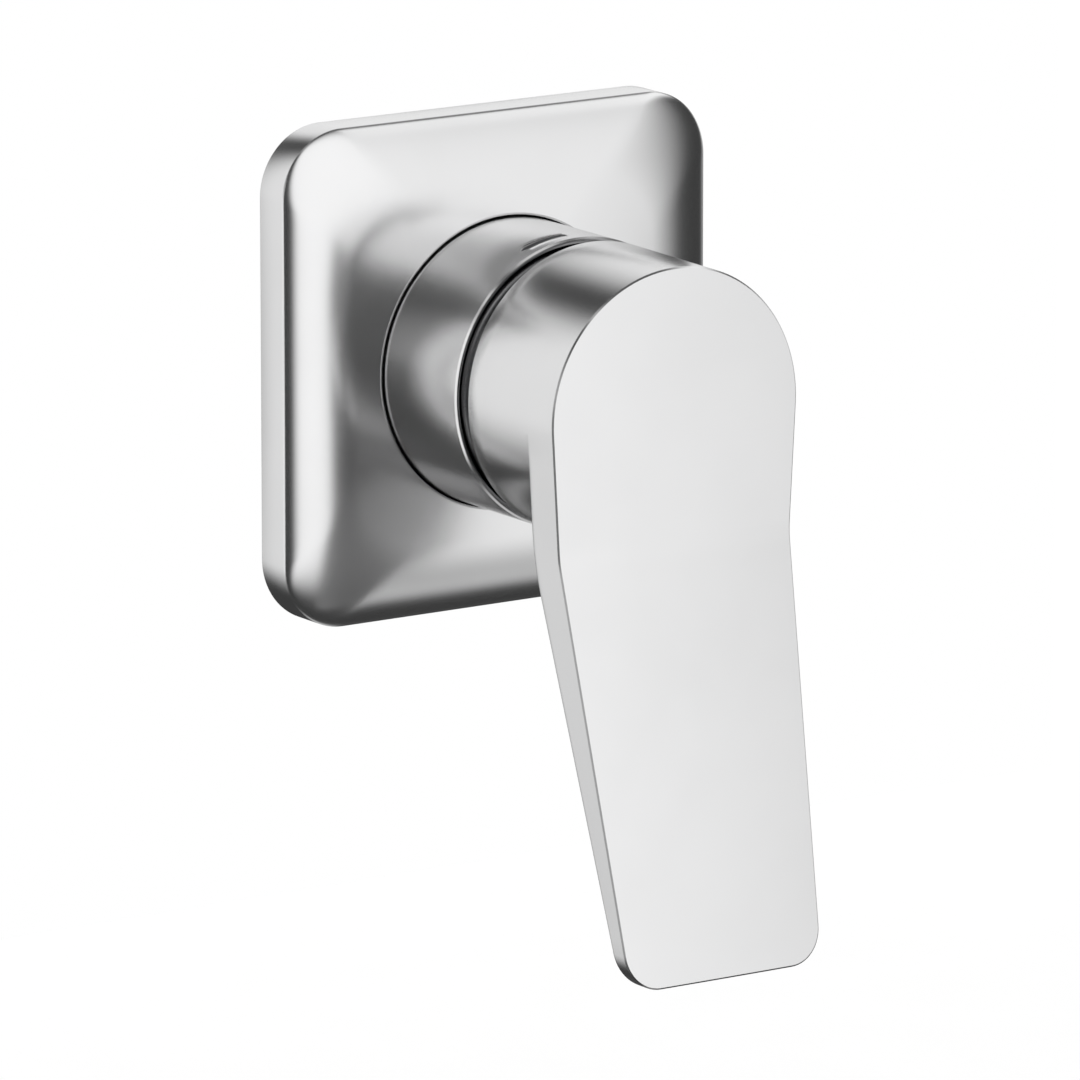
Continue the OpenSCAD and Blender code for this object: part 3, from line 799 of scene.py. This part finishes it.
@dataclass
class LeverHandle:
    """The round head and the flat leaning lever, cast in one piece and hollow behind."""

    front_r: float = 22.95
    back_r: float = 23.25
    back: float = 33.9
    front: float = 57.3
    pivot: float = 15.42
    hollow_r: float = 28.0
    bore_r: float = 20.05
    bore_front: float = 53.3
    boss_r: float = 7.6
    boss_back: float = 38.0
    socket_half: float = 4.05
    socket_corner: float = 0.05
    socket_front: float = 50.5
    reach: float = 87.5
    end_half: float = 18.1
    corner: float = 6.0
    root_out: float = 49.9
    tip_t: float = 3.0
    lean_deg: float = 12.35
    face_drop: float = 21.3
    face_r: float = 14.0
    back_drop: float = 22.4
    back_bend_r: float = 40.0
    edge: float = 0.26
    edge_deg: float = 39.0
    rim_edge: float = 0.1
    crown_r: float = 1200.0
    blend_deg: float = 12.0
    edge_growth: float = 0.45
    screw_out: float = 46.92
    screw_r: float = 2.45
    screw_floor: float = 21.3
    screw_past: float = 1.0
    screw_steps: int = 64
    sharp_deg: float = 32.0
    head_points: int = 72
    corner_points: int = 15
    fan_deg: float = 2.0
    fan_end_deg: float = 66.0
    bend_from: float = 12.0
    bend_to: float = 30.0
    bend_step: float = 0.8
    far_step: float = 3.0
    least_step: float = 0.2
    face_steps: int = 40
    side_steps: int = 8
    back_steps: int = 48
    head_steps: int = 6

    def __post_init__(self) -> None:
        """Works out the tangent sides, the corners and the lean of the back."""
        drop = math.sqrt(self.reach ** 2 + self.end_half ** 2 - self.front_r ** 2)
        self.side = (math.atan2(self.end_half, self.reach) + math.atan2(drop, self.front_r)
                     - math.pi / 2)
        self.normal = np.array([math.cos(self.side), math.sin(self.side)])
        touch = self.front_r * self.normal
        corner_y = self.corner - self.reach
        at_corner = touch[0] - (corner_y - touch[1]) * math.tan(self.side)
        self.centre = np.array([at_corner - self.corner / math.cos(self.side), corner_y])
        self.face_lean = math.radians(self.lean_deg)
        tip_out = self.front + (self.reach - self.face_drop) * math.tan(self.face_lean)
        self.back_lean = math.atan2(tip_out - self.tip_t - self.root_out,
                                    self.reach - self.back_drop)

    @staticmethod
    def bent(up: Array, drop: float, out: float, lean: float, radius: float) -> Array:
        """Height of a surface that is level, bends on an arc and then leans outwards.

        At a distance p below the arc's start, the height has grown by radius - sqrt(radius^2 -
        p^2). After the arc it grows with the slope tan(lean).

        Args:
            up: places up the wall.
            drop: where the two stretches would meet, below the axis.
            out: the height of the level stretch.
            lean: the angle of the leaning stretch.
            radius: the arc's radius.
        Returns:
            The heights.
        """
        start = drop - radius * math.tan(lean / 2)
        past = np.maximum(-up - start, 0.0)
        end = radius * math.sin(lean)
        arc = radius - np.sqrt(np.maximum(radius ** 2 - np.minimum(past, end) ** 2, 0.0))
        return out + arc + np.maximum(past - end, 0.0) * math.tan(lean)

    def face_out(self, x: Array, up: Array) -> Array:
        """Height of the face, which polishing has left very slightly crowned: x^2 / 2R lower."""
        flat = self.bent(up, self.face_drop, self.front, self.face_lean, self.face_r)
        return flat - x ** 2 / (2 * self.crown_r)

    def back_out(self, up: Array) -> Array:
        """Height of the lever's back."""
        return self.bent(up, self.back_drop, self.root_out, self.back_lean, self.back_bend_r)

    def outline(self) -> tuple:
        """The right-hand half of the outline, from the top down to the end's round corner.

        Returns:
            Points on the outline, the normals there, and how many belong to the head.
        """
        turns = np.linspace(math.pi / 2, self.side, self.head_points)
        head_n = np.stack([np.cos(turns), np.sin(turns)], axis=-1)
        head = self.front_r * head_n
        length = -(self.centre[1] + self.corner * self.normal[1] - head[-1, 1])
        length /= math.cos(self.side)
        # Down the side: in step with angles round the head, close at the bend and wide beyond it
        fan = np.radians(np.arange(self.fan_deg, self.fan_end_deg, self.fan_deg))
        along = np.unique(np.concatenate([
            self.front_r * np.tan(fan),
            np.arange(self.bend_from, self.bend_to, self.bend_step),
            np.arange(self.bend_to, length, self.far_step),
            [length],
        ]))
        along = along[along <= length]
        along = along[np.concatenate([[True], np.diff(along) > self.least_step])]
        down = np.array([self.normal[1], -self.normal[0]])
        line = head[-1] + along[:, None] * down
        line_n = np.broadcast_to(self.normal, line.shape)
        turns = np.linspace(self.side, -math.pi / 2, self.corner_points)[1:]
        round_n = np.stack([np.cos(turns), np.sin(turns)], axis=-1)
        round_ = self.centre + self.corner * round_n
        return (np.concatenate([head, line, round_]), np.concatenate([head_n, line_n, round_n]),
                len(head))

    def taper(self, out: Array) -> Array:
        """How far the head's side stands outside its front edge."""
        return (self.back_r - self.front_r) * (self.front - out) / (self.front - self.back)

    def build(self) -> Object:
        """Builds the face, its rounded edge, the sides, the back and the hollow, and welds them.

        Returns:
            The piece.
        """
        points, normals, heads = self.outline()
        inner = points - self.edge * normals
        inner[0, 0] = 0.0
        even = np.linspace(-1.0, 1.0, self.face_steps + 1)
        across = 0.5 * np.sin(even * math.pi / 2) + 0.5 * even
        x = inner[:, :1] * across
        up = np.broadcast_to(inner[:, 1:], x.shape)
        shell = Shell().grid(np.stack([x, up, self.face_out(x, up)], axis=-1), around=False)

        # The whole boundary: down the right, along the end and up the left
        end = across[::-1][1:-1]
        flat = np.stack([inner[-1, 0] * end, np.full(end.shape, inner[-1, 1])], axis=-1)
        flat_n = np.broadcast_to([0.0, -1.0], flat.shape)
        mirror = np.array([-1.0, 1.0])
        loop = np.concatenate([inner, flat, inner[:0:-1] * mirror])
        loop_n = np.concatenate([normals, flat_n, normals[:0:-1] * mirror])
        turn = np.arctan2(loop[:, 1], loop[:, 0])
        place = np.arange(len(loop))
        head = (place < heads) | (place > len(loop) - heads)
        below = np.abs(np.arctan2(loop[:, 0], -loop[:, 1]))
        beyond = math.pi / 2 + self.side - below
        beyond = np.clip(beyond / math.radians(self.blend_deg), 0.0, 1.0)
        share = np.where(head, 1.0, 1.0 - beyond ** 2 * (3 - 2 * beyond))

        def shifted(by: object, out: Array) -> Array:
            """Boundary points moved out along their normals, at a height."""
            return np.concatenate([loop + np.reshape(by, (-1, 1)) * loop_n, out[:, None]], axis=-1)

        x, up = (loop + self.edge * loop_n).T
        top = self.face_out(x, up) - self.edge * math.tan(math.radians(self.edge_deg))
        rows = [shifted(0.0, self.face_out(*loop.T)), shifted(self.edge, top)]
        # Where the lever's back meets the head, on the head's cone
        root = self.taper(self.root_out)
        cone_r = self.front_r + root
        joint = np.where(head, self.root_out,
                         self.back_out(np.where(head, 0.0, cone_r * np.sin(turn))))
        # The round along the lever's back fades out towards the cone
        reach = np.hypot(*(loop + self.edge * loop_n + root * share[:, None] * loop_n).T)
        round_r = np.clip(self.edge_growth * (reach - cone_r), 0.0, self.edge) * ~head
        foot = np.where(head, self.root_out, self.back_out(up)) + round_r
        for t in np.linspace(0.0, 1.0, self.side_steps + 1)[1:]:
            out = top + (foot - top) * t
            cone_out = np.where(head, out, np.maximum(out, self.root_out))
            rows.append(shifted(self.edge + self.taper(cone_out) * share, out))
        near, far = fillet(ROUND_STEPS)
        for n, f in zip(near[1:], far[1:]):
            row = shifted(self.edge + root * share - round_r * n, foot)
            row[:, 2] = np.where(head, self.root_out, self.back_out(row[:, 1])) + round_r * f
            rows.append(row)
        shell.grid(rows)
        # The lever's back, from its edge in to the head
        cone = ring(self.front_r + self.taper(joint), joint, turn)
        back_rows = []
        for t in np.linspace(0.0, 1.0, self.back_steps + 1):
            row = rows[-1] + (cone - rows[-1]) * t
            row[:, 2] = np.where(head, row[:, 2], self.back_out(row[:, 1]))
            back_rows.append(row)
        lever = slice(heads - 1, len(loop) - heads + 2)
        shell.grid(np.array(back_rows)[:, lever], around=False)
        self._head(shell, turn, joint, back_rows[-1])
        piece = shell.build("lever_handle", self.sharp_deg)
        self._screw_hole(piece)
        return dressed(piece, Body.LEVER, Chrome("chrome_handle"), "handle")

    def _screw_hole(self, piece: Object) -> None:
        """Cuts the blind hole for the screw's cap into the underside of the head.

        The cutter is a round bar that points down: (r cos a, up, screw_out + r sin a).

        Args:
            piece: the handle, changed in place.
        """
        a = np.linspace(0.0, 2 * math.pi, self.screw_steps + 1)[:-1]
        floor, end = -self.screw_floor, -self.back_r - self.screw_past
        x, y, up = np.moveaxis(rings(
            a, (0.0, floor), (self.screw_r, floor), (self.screw_r, end), (0.0, end)), -1, 0)
        cutter = Shell().grid(np.stack([x, up, self.screw_out + y], axis=-1)).build("screw_hole")
        cut = piece.modifiers.new("screw_hole", "BOOLEAN")
        cut.object = cutter
        cut.solver = "EXACT"
        finished = piece.evaluated_get(bpy.context.evaluated_depsgraph_get())
        mesh = bpy.data.meshes.new_from_object(finished)
        piece.modifiers.clear()
        piece.data = mesh
        bpy.data.objects.remove(cutter)
        crease(mesh, self.sharp_deg)

    def _head(self, shell: Shell, turn: Array, joint: Array, start: Array) -> None:
        """Adds the head behind the lever, its rim, its hollow and the boss for the spindle.

        Args:
            shell: where the grid goes.
            turn: the angles round the axis.
            joint: the height at which each angle starts.
            start: the row of points there.
        """
        rows = [start]
        edge = self.rim_edge
        for t in np.linspace(0.0, 1.0, self.head_steps + 1)[1:]:
            out = joint + (self.back + edge - joint) * t
            rows.append(ring(self.front_r + self.taper(out), out, turn))
        near, far = fillet(ROUND_STEPS)
        mouth = math.sqrt(self.hollow_r ** 2 - (self.back - self.pivot) ** 2)
        meet = self.pivot + math.sqrt(self.hollow_r ** 2 - self.bore_r ** 2)
        square = square_reach(turn, self.socket_half, self.socket_corner)
        rows += rings(
            turn,
            *((self.back_r - edge * n, self.back + edge * f) for n, f in zip(near[1:], far[1:])),
            (mouth, self.back), (self.bore_r, meet), (self.bore_r, self.bore_front),
            (self.boss_r, self.bore_front), (self.boss_r, self.boss_back),
            (square, self.boss_back), (square, self.socket_front), (0.0, self.socket_front),
        )
        shell.grid(rows)


# Pieces that keep their CAD shape


def refined(node: str, name: str, body: Body, finish: Finish) -> Object:
    """A merged and smoothly shaded copy of a CAD node that stands for it.

    Args:
        node: the CAD node.
        name: the copy's name.
        body: the body that it rides on.
        finish: its finish.
    Returns:
        The piece.
    """
    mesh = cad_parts[node].data.copy()
    mesh.name = name
    crease(mesh, CAD_SHARP_DEG, flatten)
    return dressed(linked(name, mesh), body, finish, node)


def finish_node(node: str, finish: Finish) -> None:
    """Gives a CAD node that stays as it is a finish of its own."""
    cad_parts[node].data.materials[0] = finish.build()
    LOG.info("%s keeps its shape, finish %s", node, finish.name)


@dataclass
class BodyInWall:
    """The cast body with its ports, and what is screwed to it or lies on it."""

    reach: float = 45.0
    port_out: float = -27.0
    thread_r: float = 9.3
    thread_len: float = 13.6
    pitch: float = 1.814
    depth: float = 0.42
    nose_r: float = 22.2
    slack: float = 0.2
    faced_slack: float = 0.01
    past_thread: float = 1.0
    mouth: float = 0.4
    fade: float = 1.6
    root_share: float = 0.12
    flank_share: float = 0.7
    proud: float = 0.02
    sunk: float = 0.25
    steps_round: int = 72
    steps_along: int = 96
    thread_sharp_deg: float = 50.0

    def machined(self, piece: Object) -> None:
        """Gives the port faces, the open ends of their bores and the nose a brighter finish.

        Args:
            piece: the body.
        """
        mesh = piece.data
        mesh.materials.append(Brass("machined_brass", rgba(0.92, 0.74, 0.42), 0.24, 4200.0,
                                    0.000012).build())
        middle = np.empty(len(mesh.polygons) * 3)
        mesh.polygons.foreach_get("center", middle)
        x, y, z = middle.reshape(-1, 3).T / MM
        side = np.maximum(np.abs(x), np.abs(z))
        from_port = np.hypot(np.minimum(np.abs(x), np.abs(z)), y + self.port_out)
        bore = ((from_port < self.thread_r + self.slack)
                & (side > self.reach - self.thread_len - self.past_thread))
        nose = (np.hypot(x, z) < self.nose_r + self.slack) & (y < 0.0)
        faced = (side > self.reach - self.faced_slack) | bore | nose
        mesh.polygons.foreach_set("material_index", faced.astype(np.int32))

    def thread(self, name: str, across: tuple, along: tuple) -> Object:
        """The thread in the mouth of one port.

        At a place s along the port and an angle a, it stands in by depth times a blunt wave of
        s / pitch - a / 2 pi, one right-hand helix that fades out at the mouth.

        Args:
            name: the piece's name.
            across: the direction (x, up) across the port.
            along: the direction (x, up) out of the port.
        Returns:
            The piece.
        """
        a = np.linspace(0.0, 2 * math.pi, self.steps_round + 1)[:-1]
        end = self.reach - self.mouth
        s = np.linspace(self.reach - self.thread_len, end, self.steps_along + 1)
        phase = s[:, None] / self.pitch - a[None, :] / (2 * math.pi)
        tooth = np.abs(2 * (phase - np.floor(phase)) - 1)
        wave = np.clip((tooth - self.root_share) / self.flank_share, 0.0, 1.0)
        fade = np.clip((end - s) / self.fade, 0.0, 1.0)[:, None]
        inner = self.thread_r - self.proud - self.depth * wave * fade
        radius = np.concatenate([inner, np.full((2, len(a)), self.thread_r + self.sunk)])
        place = np.concatenate([s, [s[-1], s[0]]])[:, None] + 0.0 * a
        sideways = radius * np.cos(a)
        points = np.stack([
            across[0] * sideways + along[0] * place, across[1] * sideways + along[1] * place,
            self.port_out + radius * np.sin(a),
        ], axis=-1)
        piece = Shell().grid(points, loop=True).build(name, self.thread_sharp_deg)
        return dressed(piece, Body.TRIM, TurnedBrass(f"{name}_brass", 2 if along[1] else 0))

    def build(self) -> None:
        """Dresses the body, the plug, the nut, the dome and the seals."""
        body = refined("valve_body", "cast_body", Body.TRIM, Brass("cast_brass"))
        self.machined(body)
        walled_in = [body]
        for name, across, along in (
            ("hot_port_thread", (0.0, 1.0), (-1.0, 0.0)),
            ("cold_port_thread", (0.0, 1.0), (1.0, 0.0)),
            ("outlet_port_thread", (1.0, 0.0), (0.0, 1.0)),
        ):
            walled_in.append(self.thread(name, across, along))
        walled_in.append(refined("outlet_plug", "plug", Body.TRIM, TurnedBrass("plug_brass", 2)))
        for piece in walled_in:
            # So that the plate's edge doesn't mirror it
            piece.visible_glossy = False
        refined("cartridge_nut", "nut", Body.TRIM, TurnedBrass("nut_brass", 1))
        # The dome's chrome is painted dark grey: painted shade for the recess between the sleeve's
        # rim and the handle, not the cap's own colour.
        refined("dome_cap", "dome", Body.TRIM, Chrome("chrome_dome_painted_shade", rgba(0.27, 0.27, 0.275), 0.16))
        finish_node("plug_seal", Fibre("fibre_seal"))
        finish_node("wall_gasket", Rubber("gasket_foam", rgba(0.09, 0.09, 0.095), 0.8))
        for node in ("plate_oring", "sleeve_oring", "base_seals", "disc_seals"):
            finish_node(node, Rubber(f"{node}_rubber", rgba(0.022, 0.022, 0.023)))


@dataclass
class Cartridge:
    """The ceramic cartridge: its shell, discs, carrier and spindle."""

    shell_colour: tuple = rgba(0.80, 0.78, 0.70)
    mover_colour: tuple = rgba(0.10, 0.27, 0.20)
    limiter_colour: tuple = rgba(0.62, 0.05, 0.045)

    def build(self) -> None:
        """Dresses each piece of the cartridge."""
        refined("cartridge_housing", "housing", Body.TRIM,
                Moulded("housing_plastic", self.shell_colour))
        refined("cartridge_base", "base", Body.TRIM, Moulded("base_plastic", self.shell_colour))
        refined("spindle_carrier", "carrier_turret", Body.CARRIER,
                Moulded("carrier_plastic", self.mover_colour))
        refined("temperature_limiter", "limiter", Body.CARRIER,
                Moulded("limiter_plastic", self.limiter_colour, 0.28))
        refined("disc_driver", "driver", Body.DISC, Moulded("driver_plastic", self.mover_colour))
        refined("spindle", "brass_spindle", Body.LEVER, TurnedBrass("spindle_brass", 1))
        finish_node("glide_ring", Moulded("glide_plastic", rgba(0.86, 0.86, 0.84), 0.3))
        finish_node("fixed_disc", Ceramic("fixed_ceramic"))
        finish_node("moving_disc", Ceramic("moving_ceramic"))
        finish_node("pivot_pin", GroundSteel("pin_steel"))
        finish_node("grub_screw", GroundSteel("screw_steel"))
        finish_node("screw_cap", Chrome("chrome_cap"))


# The studio


@dataclass(frozen=True)
class Panel:
    """A soft light or screen far away, as metal sees it: a window in azimuth and elevation.

    Azimuth is measured from straight in front of the wall towards the right, in degrees. The
    softness is how far each edge fades to either side of its place.
    """

    left: float
    right: float
    low: float
    high: float
    left_soft: float
    right_soft: float
    low_soft: float
    high_soft: float
    strength: float

    def seen(self, x: Sock, y: Sock, z: Sock) -> Sock:
        """Brightness of the panel in the direction (x, y, z).

        The azimuth from the panel's middle is atan2 of the direction's parts to the side and
        towards the panel, and the elevation is asin z.

        Args:
            x: the direction to the right.
            y: the direction into the wall.
            z: the direction up.
        Returns:
            The brightness.
        """
        middle, half = (self.left + self.right) / 2, (self.right - self.left) / 2
        turn = math.radians(middle)
        ahead = x * math.sin(turn) - y * math.cos(turn)
        aside = x * math.cos(turn) + y * math.sin(turn)
        around = aside.degrees_round(ahead)
        above = z.degrees_above()
        window = around.step(-half - self.left_soft, -half + self.left_soft)
        window = window * around.step(half - self.right_soft, half + self.right_soft, 1.0, 0.0)
        window = window * above.step(self.low - self.low_soft, self.low + self.low_soft)
        top = above.step(self.high - self.high_soft, self.high + self.high_soft, 1.0, 0.0)
        return window * top * self.strength


@dataclass
class Studio:
    """Camera, backdrop wall, floor, lamps and what the metal sees."""

    eye: tuple = (-0.93556, -1.41901, 0.34708)
    ahead: tuple = (0.54244131, 0.81157101, -0.21704819)
    lens: float = 362.9
    dark: float = 0.048
    ceiling: float = 0.9
    brightest: float = 1.1
    fill: float = 0.75
    lamp_size: float = 0.9
    lamp_power: float = 9.0

    def camera(self) -> None:
        """The camera at the photograph's place."""
        data = bpy.data.cameras.new("camera")
        data.sensor_width = 36.0
        data.lens = self.lens
        data.clip_end = 50.0
        camera = linked("camera", data)
        camera.location = self.eye
        camera.rotation_euler = Vector(self.ahead).to_track_quat("-Z", "Y").to_euler()
        bpy.context.scene.camera = camera

    def world(self) -> None:
        """White behind the object, soft panels and dark flags round it in its metal."""
        world = bpy.data.worlds.new("studio")
        bpy.context.scene.world = world
        t = Tree(world)
        x, y, z = t.axes(t.place(Space.DIRECTION))
        panels = (
            # In front
            Panel(-13, 43, -26, 39.5, 5.5, 16, 7, 15, 1.05),
            # In front on the right, high and low
            Panel(40, 77.1, 27.1, 47.4, 5, 4.9, 5, 5.6, 1.11),
            Panel(37.4, 54, -39.2, -19.7, 3.4, 3, 3.3, 16.3, 0.70),
            # Behind, on the right and on the left
            Panel(133.4, 170, -7.6, 34.5, 6.2, 8, 8.8, 8, 0.84),
            Panel(198, 229, -25, 48.3, 11, 12.3, 15, 10.9, 0.83),
            # In front on the left: a tall strip, a dim one beside it and two above
            Panel(-64, -50.5, -46.9, 32.5, 5.2, 3.9, 6.1, 7.3, 1.07),
            Panel(-54, -41, -2, 27, 4, 4, 6, 6, 0.42),
            Panel(-54.5, -45.6, 20.1, 51.6, 3, 4.3, 6.6, 5.5, 0.71),
            Panel(-49.5, -18.6, 41.3, 50, 5.7, 5.8, 3.9, 3.9, 0.79),
            # On the left
            Panel(-130, -78.4, -9.2, 23.8, 6.4, 3, 4, 5.8, 1.17),
            # Behind on the right and low, straight behind, and on the right
            Panel(118.4, 136.8, -41.1, -26, 6, 4, 4.4, 8.3, 1.13),
            Panel(167.6, 185.8, -14.5, 14.5, 5.9, 6, 7.9, 8.1, 0.81),
            Panel(93.3, 118.9, -10.9, 35.3, 7.6, 8, 9.9, 10.2, 0.62),
            # On the left, high and low
            Panel(-128.5, -78.3, 20.9, 62.1, 7.3, 5.2, 8.3, 7.4, 0.86),
            Panel(-138, -62, -46.8, -23.4, 8.3, 8.3, 7.3, 6.6, 0.52),
            # On the right: dim, high and low
            Panel(69.6, 126, 44.3, 61.6, 8, 8, 8, 8.1, 0.37),
            Panel(128, 168, -60, -38, 8, 8, 8, 8, 0.13),
        )
        light = z.step(0.86, 0.94, self.dark, self.ceiling) + z.step(-0.97, -0.85, 0.5, 0.0)
        for panel in panels:
            light = light + panel.seen(x, y, z)
        light = light.least(self.brightest)
        strength = light + (self.fill - light) * t.ray("Diffuse")
        strength = strength + (1.0 - strength) * t.ray("Camera")
        t.end(t.node("Background", {}, {"Color": WHITE, "Strength": strength}), "World")

    def wall(self) -> None:
        """A white wall that hides the body from in front and lets it be seen from behind."""
        side, low, high, out = 116.0, -84.0, 70.0, -0.3
        wall, t = self._sheet("backdrop_wall", [
            [-side, low, out], [side, low, out], [side, high, out], [-side, high, out]])
        self._one_sided(t, t.node("Emission", {}, {"Color": WHITE}))
        for ray in ("diffuse", "glossy", "transmission", "shadow"):
            setattr(wall, f"visible_{ray}", False)

    def floor(self) -> None:
        """A pale floor below the mixer, white to the camera but for the mixer's shadow.

        It turns into plain white away from the mixer, it can be looked through from below, and
        the world's pale nadir stands for it in the metal.
        """
        side, low = 2500.0, -165.0
        floor, t = self._sheet("floor", [
            [-side, low, side], [side, low, side], [side, low, -side], [-side, low, -side]])
        pale = t.node("BsdfPrincipled", {}, {
            "Base Color": t.mix(t.noise(60.0, 3.0), rgba(0.93, 0.93, 0.93), rgba(0.96, 0.96, 0.96)),
            "Roughness": 0.9,
        })
        white = t.node("Emission", {}, {"Color": WHITE, "Strength": 1.06})
        x, y, _ = t.axes(t.place())
        away = (x * x + y * y) ** 0.5
        self._one_sided(t, t.blend(t.ray("Camera") * away.step(0.25, 0.6, 0.5, 1.0), pale, white))
        floor.visible_glossy = False

    @staticmethod
    def _one_sided(t: Tree, shader: Sock) -> None:
        """Ends a sheet's tree in a shader that the camera looks through from behind."""
        behind = t.node("NewGeometry", {}, {}, "Backfacing") * t.ray("Camera")
        t.end(t.blend(behind, shader, t.node("BsdfTransparent", {}, {})))

    @staticmethod
    def _sheet(name: str, corners: list) -> tuple:
        """A flat sheet round the object.

        Args:
            name: its name.
            corners: four points in (x, up, out).
        Returns:
            The sheet, and the empty tree of a material of its own.
        """
        mesh = bpy.data.meshes.new(name)
        mesh.from_pydata(on_wall(np.array(corners)).tolist(), [], [(0, 1, 2, 3)])
        mesh.materials.append(bpy.data.materials.new(name))
        sheet = linked(name, mesh)
        return sheet, Tree(mesh.materials[0])

    def lamp(self, name: str, place: tuple) -> None:
        """A square soft lamp that lights plain surfaces and stays out of the metal.

        Args:
            name: its name.
            place: where it stands, in metres; it faces the origin.
        """
        data = bpy.data.lights.new(name, "AREA")
        data.size = self.lamp_size
        data.energy = self.lamp_power
        lamp = linked(name, data)
        lamp.location = place
        lamp.rotation_euler = (-Vector(place)).to_track_quat("-Z", "Y").to_euler()
        lamp.visible_glossy = False

    def build(self) -> None:
        """Sets up everything round the object."""
        self.camera()
        self.world()
        self.wall()
        self.floor()
        self.lamp("lamp_front", (0.9, -1.3, 1.1))
        self.lamp("lamp_behind", (-0.8, 1.3, 1.0))
        bpy.context.scene.view_settings.view_transform = "Standard"
        LOG.info("studio ready")


def main() -> None:
    """Builds every piece."""
    logging.basicConfig(level=logging.INFO, format="%(name)s: %(message)s")
    for part in (WallPlate, CoverSleeve, LeverHandle, BodyInWall, Cartridge, Studio):
        part().build()


if __name__ == "__main__":
    main()
